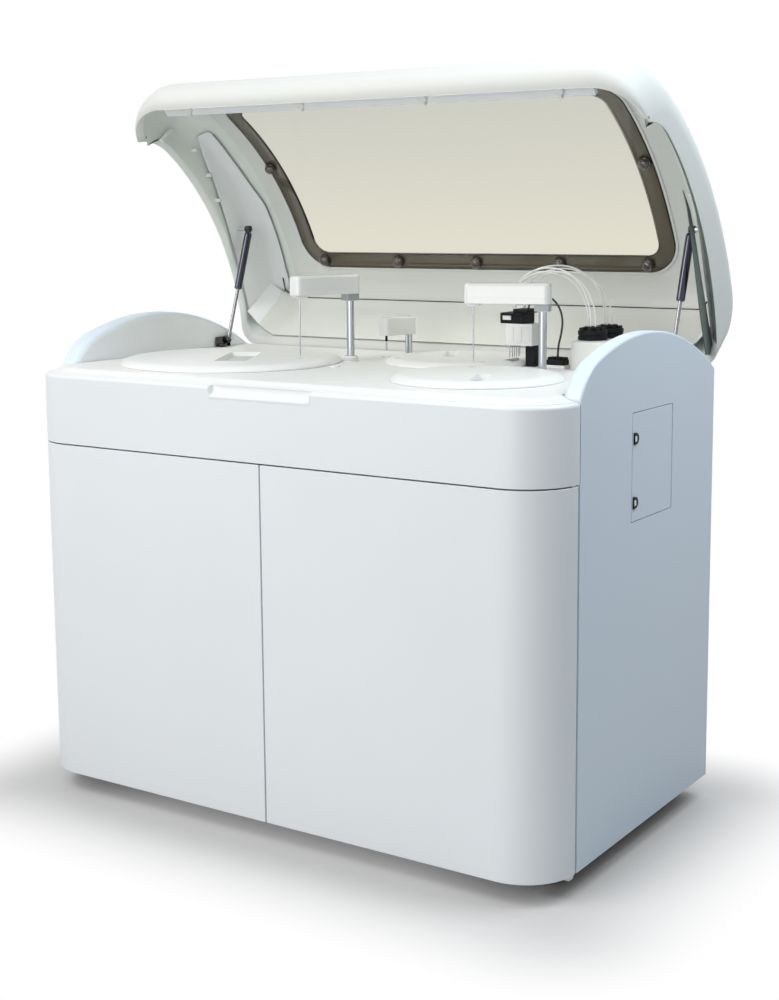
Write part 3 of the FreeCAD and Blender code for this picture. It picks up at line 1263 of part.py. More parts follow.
def struts(brackets):
    """Both gas struts; their lower brackets join the hinge brackets in one node."""
    low, way, reach = strut_line()
    rods, cylinders = [], []
    for side, sign, middle in (("left", 1, s.strut_across),
                               ("right", -1, s.body_width - s.strut_across)):
        def across(offset):
            return Vector(middle + sign * offset, 0, 0)
        half = s.strut_eye_width / 2
        axle_way = Vector(sign, 0, 0)
        eye = Part.makeCylinder(s.strut_eye_radius, s.strut_eye_width, low + across(-half),
                                axle_way)
        shank = Part.makeCylinder(s.strut_rod_radius, s.strut_rod_length, low + across(0), way)
        bore = Part.makeCylinder(s.strut_pin_radius + s.running_gap, 2 * s.strut_eye_width,
                                 low + across(-s.strut_eye_width), axle_way)
        rods.append(feature(f"{side}_rod", eye.fuse(shank).cut(bore)))
        tube_start = reach - s.strut_eye_radius - s.strut_cylinder_length
        tube = Part.makeCylinder(s.strut_cylinder_radius, s.strut_cylinder_length,
                                 low + across(0) + way * tube_start, way)
        room = Part.makeCylinder(s.strut_rod_radius + s.running_gap, s.strut_bore_length,
                                 low + across(0) + way * tube_start, way)
        top_eye = Part.makeCylinder(s.strut_eye_radius,
                                    s.strut_cylinder_radius + s.strut_eye_width / 2,
                                    low + way * reach + across(-s.strut_cylinder_radius),
                                    axle_way)
        cylinders.append(feature(f"{side}_cylinder", tube.fuse(top_eye).cut(room)))
        pin_start = half + s.stud_gap + s.strut_bracket_wall
        plate = Part.makeBox(s.strut_bracket_wall, s.strut_bracket_depth,
                             s.strut_low_height - s.deck_top + s.strut_eye_radius,
                             Vector(-s.strut_bracket_wall / 2, -s.strut_bracket_depth / 2, 0))
        plate.translate(across(-half - s.stud_gap - s.strut_bracket_wall / 2)
                        + Vector(0, s.strut_low_depth, s.deck_top))
        pin = Part.makeCylinder(s.strut_pin_radius,
                                pin_start + half + s.strut_bracket_wall / 2,
                                low + across(-pin_start), axle_way)
        brackets.append(feature(f"{side}_strut_bracket", plate.fuse(pin)))
    node("strut_rods", *rods)
    node("strut_cylinders", *cylinders)
    node("lid_brackets", *brackets)


# Inside the cabinet


def fluid_tanks():
    tanks = []
    low = "tube_width + floor_thickness"
    for index, name in enumerate(("water_tank", "waste_tank")):
        left = f"tank_left + tank_spacing * {index}"
        body = rounded(name + "_round",
                       box(name + "_block", left, "tank_front", low, "tank_width",
                           "tank_depth", "tank_height"), s.tank_round, upright)
        cap = rod(name + "_cap", "tank_cap_radius", "tank_cap_height",
                  f"{left} + tank_width / 2", "tank_front + tank_depth / 2",
                  f"{low} + tank_height")
        tanks += [body, cap]
    return node("fluid_tanks", *tanks)


def electronics():
    low = "tube_width + floor_thickness"
    node("power_supply", box("supply_case", "supply_left", "supply_front", low,
                             "supply_width", "supply_depth", "supply_height"))
    body = box("photometer_case", "photometer_left", "photometer_front",
               "fascia_top - photometer_height", "photometer_width", "photometer_depth",
               "photometer_height")
    lens = rod("photometer_lens", "lens_radius", "lens_length",
               "photometer_left - lens_length", "photometer_front + photometer_depth / 2",
               "fascia_top - photometer_height / 2", "x")
    node("photometer", fuse("photometer_body", body, lens))


def syringes():
    """A syringe block on the front rail, with a plunger under each barrel."""
    high = "bench_top - bench_thickness"
    block = box("syringe_case", "syringe_left", "frame_front - syringe_depth",
                f"{high} - syringe_height", "syringe_width", "syringe_depth",
                "syringe_height")
    bores = []
    for index, name in enumerate(("reagent_plunger", "sample_plunger")):
        centre = (f"syringe_left + syringe_width / 2 + syringe_step * {index - 0.5}",
                  "frame_front - syringe_depth / 2")
        start = f"{high} - syringe_height"
        bores.append(rod(name + "_bore", "plunger_radius + running_gap",
                         "plunger_inside + seam", *centre, start))
        stem = rod(name + "_stem", "plunger_radius", "plunger_length", *centre,
                   f"{start} + plunger_inside - plunger_length")
        knob = rod(name + "_knob", "plunger_knob_radius", "plunger_knob_height", *centre,
                   f"{start} + plunger_inside - plunger_length - plunger_knob_height")
        node(name, fuse(name + "_body", stem, knob))
    node("syringe_block", cut("syringe_drilled", block, *bores))


def rear_ports():
    inlet = box("inlet_body", "inlet_left", "body_depth", "inlet_low", "inlet_width",
                "inlet_depth", "inlet_height")
    recess = box("inlet_recess", "inlet_left + seam", "body_depth + inlet_depth / 2",
                 "inlet_low + seam", "inlet_width - 2 * seam", "inlet_depth",
                 "inlet_height - 2 * seam")
    pieces = [cut("inlet", inlet, recess)]
    for index in range(int(s.spigots)):
        centre = (f"spigot_left + spigot_step * {index}", "body_depth", "spigot_height")
        pieces.append(cut(
            f"spigot_{index}",
            fuse(f"spigot_{index}_body",
                 rod(f"spigot_{index}_flange", "spigot_flange_radius", "spigot_flange",
                     *centre, "y"),
                 rod(f"spigot_{index}_tube", "spigot_radius",
                     "spigot_flange + spigot_length", *centre, "y")),
            rod(f"spigot_{index}_bore", "spigot_bore",
                "spigot_flange + spigot_length", *centre, "y")))
    pieces.append(switch_frame())
    return node("rear_ports", *pieces)


def switch_frame():
    """The rim on the back in which the power rocker tips."""
    outer = box("switch_outer", "switch_left - switch_rim", "body_depth",
                "inlet_low - switch_rim", "rocker_width + 2 * switch_rim", "switch_depth",
                "rocker_height + 2 * switch_rim")
    hole = box("switch_hole", "switch_left - rocker_gap", "body_depth - switch_depth",
               "inlet_low - rocker_gap", "rocker_width + 2 * rocker_gap",
               "switch_depth * 3", "rocker_height + 2 * rocker_gap")
    pin_hole = rod("switch_pin_hole", "rocker_pin_radius + running_gap",
                   "rocker_width + 2 * rocker_pin_length",
                   "switch_left - rocker_pin_length", "body_depth + switch_depth / 2",
                   "inlet_low + rocker_height / 2", "x")
    return cut("switch_frame", outer, hole, pin_hole)


def power_rocker():
    axis = ("body_depth + switch_depth / 2", "inlet_low + rocker_height / 2", "x")
    key = meet("rocker_key",
               box("rocker_block", "switch_left",
                   "body_depth + switch_depth / 2 - rocker_depth / 2", "inlet_low",
                   "rocker_width", "rocker_depth", "rocker_height"),
               rod("rocker_round", "rocker_height / 2", "rocker_width", "switch_left", *axis))
    pin = rod("rocker_pin", "rocker_pin_radius",
              "rocker_width + 2 * rocker_pin_length - 2 * rocker_gap",
              "switch_left - rocker_pin_length + rocker_gap", *axis)
    node("power_rocker", fuse("power_rocker_body", key, pin))


# Build, check and write


def build():
    base_frame()
    levelling_feet()
    for side in ("left", "right"):
        door(side)
        side_panel(side)
    door_pivots()
    front_fascia()
    hatch_door()
    rear_panel()
    work_deck()
    wash_wells()
    for disc in DISCS:
        disc_cover(disc)
        pot(disc)
    disc_motors()
    carousels()
    reaction_rotor()
    lift_columns()
    for arm in ARMS:
        carriage(arm)
    probe_arm("reagent")
    probe_arm("sample")
    mixer_arm()
    wash_station()
    raised_housing()
    tube_manifolds()
    tubes_and_cable()
    hood_parts()
    window_knobs()
    light_bar()
    hood_liners()
    struts(lid_hinges())
    fluid_tanks()
    electronics()
    syringes()
    rear_ports()
    power_rocker()


def check():
    doc.recompute()
    for thing in doc.Objects:
        if "Invalid" in thing.State or "Error" in thing.State:
            raise RuntimeError(f"{thing.Name} failed: {thing.State}")
    for label, thing in NODES.items():
        if thing.Shape.isNull() or not thing.Shape.isValid() or not thing.Shape.Solids:
            raise RuntimeError(f"{label} has no valid solid")


def write():
    os.makedirs("parts", exist_ok=True)
    for label, thing in NODES.items():
        thing.Shape.exportStep(os.path.join("parts", label + ".step"))
    print(len(NODES), "nodes written")


build()
check()
write()
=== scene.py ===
"""Looks of the floor-standing chemistry analyzer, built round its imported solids.

Places are cabinet millimetres, as in the part's source: X from the left side, Y back from the
front face and Z up from the lower edge of the panels. CABINET and LID turn them into metres.
"""
import math

import bmesh
import bpy
from mathutils import Matrix, Vector


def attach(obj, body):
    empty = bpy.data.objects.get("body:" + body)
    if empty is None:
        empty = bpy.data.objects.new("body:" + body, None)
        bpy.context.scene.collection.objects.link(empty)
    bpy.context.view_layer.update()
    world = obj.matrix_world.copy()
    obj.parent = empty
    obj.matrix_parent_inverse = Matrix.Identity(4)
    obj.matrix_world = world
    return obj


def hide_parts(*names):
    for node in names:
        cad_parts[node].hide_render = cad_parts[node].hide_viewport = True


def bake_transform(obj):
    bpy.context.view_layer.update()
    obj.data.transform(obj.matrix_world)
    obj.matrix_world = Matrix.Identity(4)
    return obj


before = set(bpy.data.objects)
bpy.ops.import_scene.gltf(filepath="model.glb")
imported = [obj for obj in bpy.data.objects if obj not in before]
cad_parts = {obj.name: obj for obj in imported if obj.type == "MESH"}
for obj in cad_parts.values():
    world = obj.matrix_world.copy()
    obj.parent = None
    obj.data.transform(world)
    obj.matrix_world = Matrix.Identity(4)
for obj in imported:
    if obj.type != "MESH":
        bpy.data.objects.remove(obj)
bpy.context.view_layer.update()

WIDTH, DEPTH = 1240, 706
ORIGIN = Vector((620, 431, -45))
CABINET = Matrix.Scale(0.001, 4) @ Matrix.Translation(-ORIGIN)
HINGE = Vector((0, 700, 838))
LID_ANGLE = math.radians(-54.6)
LID = (CABINET @ Matrix.Translation(HINGE) @ Matrix.Rotation(LID_ANGLE, 4, "X")
       @ Matrix.Translation(-HINGE))
MIRROR = Matrix.Translation((WIDTH, 0, 0)) @ Matrix.Diagonal((-1, 1, 1, 1))
# Turns an outline's own x, y and z to depth, height and across the body
SIDEWAYS = Matrix(((0, 0, 1, 0), (1, 0, 0, 0), (0, 1, 0, 0), (0, 0, 0, 1)))
UP = Vector((0, 0, 1))

scene = bpy.context.scene
scene.view_settings.view_transform = "Standard"


# Camera

camera_data = bpy.data.cameras.new("camera")
camera_data.sensor_width = 36
camera_data.lens = 56.95
camera_data.shift_x = -0.0111
camera_data.shift_y = -0.0612
camera = bpy.data.objects.new("camera", camera_data)
camera.location = (1.8414, -2.7474, 1.2269)
YAW, PITCH, ROLL = 0.581, 0.144, -0.007
camera.matrix_world = (Matrix.Translation(camera.location) @ Matrix.Rotation(YAW, 4, "Z")
                       @ Matrix.Rotation(math.pi / 2 - PITCH, 4, "X")
                       @ Matrix.Rotation(ROLL, 4, "Z"))
scene.collection.objects.link(camera)
scene.camera = camera


# Materials


def node(tree, kind, **inputs):
    """A shader node, its inputs named and given as values or as other nodes' outputs."""
    made = tree.nodes.new("ShaderNode" + kind)
    for name, value in inputs.items():
        socket = made.inputs[name.replace("_", " ")]
        if isinstance(value, bpy.types.NodeSocket):
            tree.links.new(value, socket)
        else:
            socket.default_value = value
    return made


def maths(tree, operation, first, second=0.0):
    """The output of a maths node fed by numbers or by other nodes' outputs."""
    step = tree.nodes.new("ShaderNodeMath")
    step.operation = operation
    for socket, value in zip(step.inputs, (first, second)):
        if isinstance(value, bpy.types.NodeSocket):
            tree.links.new(value, socket)
        else:
            socket.default_value = value
    return step.outputs["Value"]


COAT_ROUGHNESS = 0.08
# How deep the fine texture of a moulded or painted surface is, in metres
RELIEF = 0.0004


def finish(name, colour, rough, metal=0.0, grain=0.03, grain_size=60.0, bump=0.03,
           bump_size=900.0, rough_spread=0.06, coat=0.0, transmission=0.0, ior=1.5,
           specular=0.5):
    """A surface with a slow drift of tone, a fine moulded texture and uneven gloss."""
    material = bpy.data.materials.new(name)
    material.use_nodes = True
    tree = material.node_tree
    shader = tree.nodes["Principled BSDF"]
    for socket, value in (("Metallic", metal), ("Specular IOR Level", specular),
                          ("Coat Weight", coat), ("Coat Roughness", COAT_ROUGHNESS),
                          ("Transmission Weight", transmission), ("IOR", ior)):
        shader.inputs[socket].default_value = value
    place = node(tree, "TexCoord").outputs["Object"]
    drift = node(tree, "TexNoise", Scale=grain_size, Detail=5, Vector=place).outputs["Fac"]
    tone = node(tree, "ValToRGB", Fac=drift)
    for end, position, change in zip(tone.color_ramp.elements, (0.3, 0.7), (-grain, grain)):
        end.position = position
        end.color = (*[min(1, c * (1 + change)) for c in colour], 1)
    gloss = node(tree, "MapRange", Value=drift, To_Min=max(0.02, rough - rough_spread),
                 To_Max=rough + rough_spread)
    fine = node(tree, "TexNoise", Scale=bump_size, Detail=3, Vector=place)
    relief = node(tree, "Bump", Strength=bump, Distance=RELIEF, Height=fine.outputs["Fac"])
    for output, socket in ((tone.outputs["Color"], "Base Color"),
                           (gloss.outputs["Result"], "Roughness"),
                           (relief.outputs["Normal"], "Normal")):
        tree.links.new(output, shader.inputs[socket])
    return material


PANEL = finish("painted_panel", (0.835, 0.87, 0.895), 0.36, grain=0.012, grain_size=2.5,
               bump=0.05)
# The front panels' paint made darker and bluer: painted shade for the sides, the hatch and the
# back, which face away from the key light.
SHADED_SIDE_PAINT = finish("panel_paint_shaded_side", (0.73, 0.82, 0.905), 0.42, grain=0.012, grain_size=2.5, bump=0.06)
MOULDED = finish("moulded_white", (0.755, 0.765, 0.735), 0.5, grain=0.01, grain_size=4,
                 bump=0.05, specular=0.25)
DECK = finish("deck_white", (0.86, 0.87, 0.855), 0.36, grain=0.012, grain_size=6, bump=0.05)
GLOSSY = finish("glossy_white", (0.80, 0.81, 0.79), 0.2, grain=0.01, grain_size=9, coat=0.3)
LINING = finish("lining_white", (0.73, 0.745, 0.71), 0.42, grain=0.012, grain_size=6, bump=0.05)
LINER = finish("liner_white", (0.85, 0.87, 0.885), 0.4, grain=0.012, grain_size=6, bump=0.05)
CHEEK = finish("cheek_green", (0.78, 0.83, 0.79), 0.45, grain=0.02, grain_size=8, bump=0.06)
SMOKED = finish("smoked_acrylic", (0.098, 0.08, 0.05), 0.12, grain=0.12, grain_size=5,
                bump=0.02, coat=0.6)
KNOB = finish("knob_brown", (0.055, 0.038, 0.03), 0.1, grain=0.1, grain_size=60, coat=1.0)
BLACK = finish("black_plastic", (0.009, 0.0095, 0.012), 0.5, grain=0.15, grain_size=90,
               bump=0.1, specular=0.15)
SOFT_BLACK = finish("strut_black", (0.012, 0.012, 0.016), 0.22, grain=0.1, grain_size=40,
                    bump=0.01, coat=0.3)
SHEEN_BLACK = finish("cylinder_black", (0.012, 0.012, 0.036), 0.16, metal=0.3, grain=0.1,
                     grain_size=40, bump=0.01, coat=0.5)
STEEL = finish("bright_steel", (0.44, 0.46, 0.49), 0.24, metal=1.0, grain=0.03, grain_size=70,
               bump=0.02, bump_size=2500)
DARK_STEEL = finish("rod_steel", (0.26, 0.26, 0.27), 0.2, metal=1.0, grain=0.05, grain_size=70,
                    bump=0.02, bump_size=2500)
ZINC = finish("zinc_steel", (0.58, 0.59, 0.6), 0.42, metal=1.0, grain=0.08, grain_size=45,
              bump=0.1)
FRAME_PAINT = finish("frame_paint", (0.34, 0.36, 0.38), 0.5, grain=0.05, grain_size=20)
ALLOY = finish("carriage_alloy", (0.6, 0.61, 0.62), 0.35, metal=0.9, grain=0.05, grain_size=50)
DISC = finish("disc_plastic", (0.1, 0.11, 0.13), 0.4, grain=0.08, grain_size=30)
POT = finish("pot_grey", (0.45, 0.47, 0.48), 0.42, grain=0.05, grain_size=20)
CUVETTE = finish("cuvette_clear", (0.78, 0.8, 0.8), 0.12, grain=0.03, grain_size=30,
                 transmission=0.6)
MOTOR = finish("motor_black", (0.03, 0.03, 0.033), 0.4, grain=0.1, grain_size=60, bump=0.12)
TUBE = finish("tube_white", (0.86, 0.86, 0.84), 0.3, grain=0.02, grain_size=60)
TANK = finish("tank_plastic", (0.74, 0.76, 0.74), 0.45, grain=0.04, grain_size=12)
# Painted shade: a greyer finish for the floor of each cover's sunk grip.
GRIP_SHADE = finish("grip_shade_grey", (0.62, 0.66, 0.65), 0.5, grain=0.03, grain_size=12)
GREY_PLASTIC = finish("collar_grey", (0.36, 0.39, 0.385), 0.4, grain=0.05, grain_size=40)
# Painted shadow: the dark cord along each cheek panel's top edge.
SHADE = finish("gap_shade", (0.30, 0.32, 0.34), 0.6, grain=0.05, grain_size=20)
# Painted shade: the dark strip and rim faces inside the right cheek, where its gap lies in
# shadow.
SHADE_STRIP = finish("shade_strip_green", (0.15, 0.18, 0.16), 0.6, grain=0.12, grain_size=6, bump=0.06)
RUBBER = finish("foot_rubber", (0.03, 0.03, 0.03), 0.75, grain=0.12, grain_size=90, bump=0.2)


def clear_acrylic(low, high):
    """The window's tint: warm and pale at the bottom, cooler and greyer at the top."""
    material = finish("clear_acrylic", (0.73, 0.715, 0.61), 0.05, bump=0.0, rough_spread=0.01,
                      transmission=1.0, ior=1.06)
    tree = material.node_tree
    place = node(tree, "TexCoord").outputs["Object"]
    height = node(tree, "SeparateXYZ", Vector=place).outputs["Z"]
    rise = node(tree, "MapRange", From_Min=low, From_Max=high, Value=height)
    tint = node(tree, "ValToRGB", Fac=rise.outputs["Result"])
    tint.color_ramp.elements[0].color = (0.76, 0.735, 0.62, 1)
    tint.color_ramp.elements[1].color = (0.60, 0.605, 0.545, 1)
    tree.links.new(tint.outputs["Color"], tree.nodes["Principled BSDF"].inputs["Base Color"])
    return material


# The window's lowest and highest places with the lid open, in metres
PANE = clear_acrylic(1.15, 1.48)


# Shape helpers


def chosen_edges(bm, pick, least_angle):
    return [e for e in bm.edges
            if len(e.link_faces) == 2 and e.calc_face_angle(0) > least_angle
            and (pick is None or pick((e.verts[0].co + e.verts[1].co) / 2,
                                      (e.verts[1].co - e.verts[0].co).normalized()))]


def soften(bm, radius, pick=None, segments=4, least_angle=0.6):
    """Round the sharp edges that pick chooses by their middle and direction."""
    bmesh.ops.bevel(bm, geom=chosen_edges(bm, pick, least_angle), offset=radius,
                    offset_type="OFFSET", segments=segments, profile=0.5, affect="EDGES",
                    material=-1, clamp_overlap=True)
    return bm


def upright(middle, way):
    return abs(way.z) > 0.99


def move(bm, matrix):
    bmesh.ops.transform(bm, matrix=matrix, space=Matrix.Identity(4), verts=bm.verts[:])
    if matrix.determinant() < 0:
        bmesh.ops.reverse_faces(bm, faces=bm.faces[:])
    return bm


def shifted(bm, x, y, z):
    return move(bm, Matrix.Translation((x, y, z)))


def paint(bm, index, pick=None):
    """Give faces a material by its place in the piece's list; pick sees middle and normal."""
    bm.normal_update()
    for face in bm.faces:
        if pick is None or pick(face.calc_center_median(), face.normal):
            face.material_index = index
    return bm


def clean(bm, apart=0.01):
    """Merge points that lie together and turn all faces outward."""
    bmesh.ops.remove_doubles(bm, verts=bm.verts[:], dist=apart)
    bmesh.ops.recalc_face_normals(bm, faces=bm.faces[:])
    return bm


def block(low, high, radius=0.0, pick=None, segments=4):
    bm = bmesh.new()
    bmesh.ops.create_cube(bm, size=1)
    low, high = Vector(low), Vector(high)
    bmesh.ops.scale(bm, vec=high - low, verts=bm.verts[:])
    bmesh.ops.translate(bm, vec=(low + high) / 2, verts=bm.verts[:])
    return soften(bm, radius, pick, segments) if radius else bm


def turned(profile, steps=64):
    """A solid of revolution about Z through pairs of radius and height."""
    bm = bmesh.new()
    verts = [bm.verts.new((r, 0, z)) for r, z in profile]
    edges = [bm.edges.new(pair) for pair in zip(verts, verts[1:])]
    bmesh.ops.spin(bm, geom=verts + edges, cent=(0, 0, 0), axis=(0, 0, 1),
                   angle=2 * math.pi, steps=steps, use_merge=True)
    return clean(bm, 0.001)


def disc(radius, low, high, rim=0.0, steps=64):
    bm = turned([(0, low), (radius, low), (radius, high), (0, high)], steps)
    return soften(bm, rim, segments=3) if rim else bm


def rod(start, end, radius, steps=24, rim=0.0):
    """A round bar between two points."""
    start, end = Vector(start), Vector(end)
    bm = disc(radius, 0, (end - start).length, rim, steps)
    return move(bm, Matrix.Translation(start)
                @ UP.rotation_difference(end - start).to_matrix().to_4x4())


def outline(start, *moves, steps=12):
    """A flat closed face; a move is a corner to go to, or a centre and a turn about it."""
    bm = bmesh.new()
    first = last = bm.verts.new((*start, 0))
    for x, y, *turn in moves:
        if turn:
            made = bmesh.ops.spin(bm, geom=[last], cent=(x, y, 0), axis=UP,
                                  angle=math.radians(turn[0]), steps=steps)
            last = [g for g in made["geom_last"] if isinstance(g, bmesh.types.BMVert)][0]
        else:
            corner = bm.verts.new((x, y, 0))
            bm.edges.new((last, corner))
            last = corner
    if (last.co - first.co).length > 0.01:
        bm.edges.new((last, first))
    bmesh.ops.remove_doubles(bm, verts=bm.verts[:], dist=0.01)
    bmesh.ops.contextual_create(bm, geom=bm.edges[:])
    return bm


def raised(bm, low, high):
    """Pull a flat face up into a slab."""
    shifted(bm, 0, 0, low)
    made = bmesh.ops.extrude_face_region(bm, geom=bm.faces[:])["geom"]
    verts = [g for g in made if isinstance(g, bmesh.types.BMVert)]
    bmesh.ops.translate(bm, vec=(0, 0, high - low), verts=verts)
    bmesh.ops.recalc_face_normals(bm, faces=bm.faces[:])
    return bm


def joined(*parts):
    whole = parts[0]
    for part in parts[1:]:
        mesh = bpy.data.meshes.new("part")
        part.to_mesh(mesh)
        whole.from_mesh(mesh)
        bpy.data.meshes.remove(mesh)
        part.free()
    return whole


def temporary(bm, name):
    mesh = bpy.data.meshes.new(name)
    bm.to_mesh(mesh)
    bm.free()
    thing = bpy.data.objects.new(name, mesh)
    scene.collection.objects.link(thing)
    return thing


def carved(body, *tools, how="DIFFERENCE"):
    """The body with each tool's shape taken out of it, or joined to it."""
    target = temporary(body, "target")
    cutters = [temporary(tool, "tool") for tool in tools]
    for cutter in cutters:
        step = target.modifiers.new("step", "BOOLEAN")
        step.operation = how
        step.solver = "EXACT"
        step.object = cutter
    settled = bpy.context.evaluated_depsgraph_get()
    mesh = bpy.data.meshes.new_from_object(target.evaluated_get(settled))
    result = bmesh.new()
    result.from_mesh(mesh)
    bpy.data.meshes.remove(mesh)
    for thing in (target, *cutters):
        old = thing.data
        bpy.data.objects.remove(thing)
        bpy.data.meshes.remove(old)
    bmesh.ops.remove_doubles(result, verts=result.verts[:], dist=0.01)
    return result


def lofted(sections, closed=False):
    """A skin over lines of points, each with as many points as the next."""
    bm = bmesh.new()
    loops = []
    for section in sections:
        verts = [bm.verts.new(point) for point in section]
        pairs = list(zip(verts, verts[1:]))
        if closed:
            pairs.append((verts[-1], verts[0]))
        loops.append([bm.edges.new(pair) for pair in pairs])
    for one, other in zip(loops, loops[1:]):
        bmesh.ops.bridge_loops(bm, edges=one + other)
    return bm


def piece(name, body, bm, materials, replaces=(), matrix=CABINET, edge=0.0, angle=32,
          segments=3):
    """Turn a mesh into a finished piece that rides on a body."""
    move(bm, matrix)
    mesh = bpy.data.meshes.new(name)
    bm.to_mesh(mesh)
    bm.free()
    for material in materials:
        mesh.materials.append(material)
    mesh.shade_smooth()
    mesh.set_sharp_from_angle(angle=math.radians(angle))
    thing = bpy.data.objects.new(name, mesh)
    scene.collection.objects.link(thing)
    if edge:
        rounding = thing.modifiers.new("edges", "BEVEL")
        rounding.width = edge * 0.001
        rounding.segments = segments
        rounding.limit_method = "ANGLE"
        rounding.angle_limit = math.radians(angle)
    even = thing.modifiers.new("shading", "WEIGHTED_NORMAL")
    even.keep_sharp = True
    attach(thing, body)
    if replaces:
        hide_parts(*replaces)
    return thing


def thicken(thing, wall):
    """Give a single skin a wall, in metres, half to each side of it."""
    solid = thing.modifiers.new("wall", "SOLIDIFY")
    solid.thickness = wall
    solid.offset = 0
    thing.modifiers.move(len(thing.modifiers) - 1, 0)


# Wash tubes and the wash head's cable: the routes of the part's source

TUBE_FROM = ((866, 538), (872, 531), (878, 524), (884, 517), (890, 541), (896, 534))
TUBE_TO = ((1030, 556), (1038, 550), (1046, 556), (1033, 624), (1041, 618), (1049, 624))
TUBE_RISE = (1048, 1058, 1052, 1062, 1056, 1049)
TUBE_START, TUBE_END = 972, 946
# Shares of the way along and of the rise, and then each tube's length in metres
TUBE_SHARES = ((0.0, 0.30), (0.03, 0.58), (0.12, 0.86), (0.29, 1.02), (0.50, 1.06),
               (0.70, 0.98), (0.87, 0.76), (0.965, 0.46), (1.0, 0.20))
TUBE_LENGTHS = (0.2852, 0.3043, 0.2969, 0.3241, 0.3027, 0.2970)
CABLE_ROUTE = ((914, 516, 972), (914, 516, 990), (932, 516, 1008), (956, 518, 1009),
               (978, 520, 994), (990, 522, 966), (988, 521, 934), (980, 520, 905),
               (980, 520, 882))


def tube_route(index):
    (x0, y0), (x1, y1) = TUBE_FROM[index], TUBE_TO[index]
    points = [Vector((x0, y0, TUBE_START))]
    for along, up in TUBE_SHARES:
        base = TUBE_START + (TUBE_END - TUBE_START) * along
        points.append(Vector((x0 + (x1 - x0) * along, y0 + (y1 - y0) * along,
                              base + (TUBE_RISE[index] - base) * up)))
    points.append(Vector((x1, y1, TUBE_END)))
    return points


def free_tube(name, route, radius, material, node):
    """A tube from the wash bracket, which moves, to something fixed on the deck."""
    curve = bpy.data.curves.new(name, "CURVE")
    curve.dimensions = "3D"
    curve.resolution_u = 10
    spline = curve.splines.new("NURBS")
    spline.points.add(len(route) - 1)
    for point, place in zip(spline.points, route):
        point.co = (*(CABINET @ Vector(place)), 1)
    spline.order_u = 3
    spline.use_endpoint_u = True
    line = bpy.data.objects.new(name + "_line", curve)
    scene.collection.objects.link(line)
    settled = bpy.context.evaluated_depsgraph_get()
    bare = bpy.data.meshes.new_from_object(line.evaluated_get(settled))
    bpy.data.meshes.remove(bare)
    curve.bevel_depth = radius * 0.001
    curve.bevel_resolution = 3
    curve.use_fill_caps = True
    settled = bpy.context.evaluated_depsgraph_get()
    mesh = bpy.data.meshes.new_from_object(line.evaluated_get(settled))
    bpy.data.objects.remove(line)
    mesh.name = name
    mesh.materials.clear()
    mesh.materials.append(material)
    mesh.shade_smooth()
    tube = bpy.data.objects.new(name, mesh)
    scene.collection.objects.link(tube)
    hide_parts(node)
    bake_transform(tube)
    return tube


for index, length in enumerate(TUBE_LENGTHS):
    free_tube(f"wash_tube_{index}", tube_route(index), 1.6, TUBE,
              "wash_tubes")
free_tube("wash_cable_run", CABLE_ROUTE, 2.2, SOFT_BLACK,
          "wash_cable")


# Cabinet

CORNER = 107
DOOR_WALL, DOOR_TOP = 16, 706
SIDE_TOP = 851
CORNER_STEPS = 24


def door(side):
    """A leaf that wraps round its front corner."""
    leaf = outline((0, CORNER), (CORNER, CORNER, 90), (618.5, 0), (618.5, DOOR_WALL),
                   (CORNER, DOOR_WALL), (CORNER, CORNER, -90), steps=CORNER_STEPS)
    raised(leaf, 0, DOOR_TOP)
    soften(leaf, 6.5, lambda m, way: upright(m, way) and m.y > 100)
    if side == "right":
        move(leaf, MIRROR)
    return piece(side + "_door_leaf", side + "_door", leaf, [PANEL],
                 [side + "_door"], edge=1.3)


def swept_round_front(section):
    """A section carried round both front corners and straight between them."""
    bm = bmesh.new()
    verts = [bm.verts.new((inward, CORNER, height)) for inward, height in section]
    loop = [bm.edges.new(pair) for pair in zip(verts, verts[1:] + verts[:1])]
    turn = bmesh.ops.spin(bm, geom=verts + loop, cent=(CORNER, CORNER, 0), axis=UP,
                          angle=math.pi / 2, steps=CORNER_STEPS)["geom_last"]
    made = bmesh.ops.extrude_edge_only(
        bm, edges=[g for g in turn if isinstance(g, bmesh.types.BMEdge)])["geom"]
    verts = [g for g in made if isinstance(g, bmesh.types.BMVert)]
    bmesh.ops.translate(bm, vec=(WIDTH - 2 * CORNER, 0, 0), verts=verts)
    bmesh.ops.spin(bm, geom=verts + [g for g in made if isinstance(g, bmesh.types.BMEdge)
                                     and all(v in verts for v in g.verts)],
                   cent=(WIDTH - CORNER, CORNER, 0), axis=UP, angle=math.pi / 2,
                   steps=CORNER_STEPS)
    bmesh.ops.remove_doubles(bm, verts=bm.verts[:], dist=0.01)
    bmesh.ops.holes_fill(bm, edges=[e for e in bm.edges if e.is_boundary])
    bmesh.ops.recalc_face_normals(bm, faces=bm.faces[:])
    return bm


def fascia():
    shell = swept_round_front((
        (0, 709), (0, 843), (0.6, 846), (2.4, 848.6), (5, 850.4), (8, SIDE_TOP),
        (40, SIDE_TOP), (40, 847), (3.5, 847), (3.5, 709)))
    scoop_back = block((496, -1, 824), (744, 18, 849), 4)
    shell = carved(shell, scoop_back, how="UNION")
    wedge = outline((-6, 829), (3, 831), (9, 836), (13, 843), (14.5, 860), (-6, 860))
    wedge = move(raised(wedge, 0, 240), Matrix.Translation((500, 0, 0)) @ SIDEWAYS)
    soften(wedge, 5, lambda m, way: abs(way.x) < 0.1 and m.y > -3, segments=3)
    shell = carved(shell, wedge)
    return piece("upper_fascia", "root", shell, [PANEL],
                 ["front_fascia"], edge=0.8)


EAR_CROWN = (385, 955)
EAR_RADIUS, EAR_FRONT_RADIUS = 600, 130


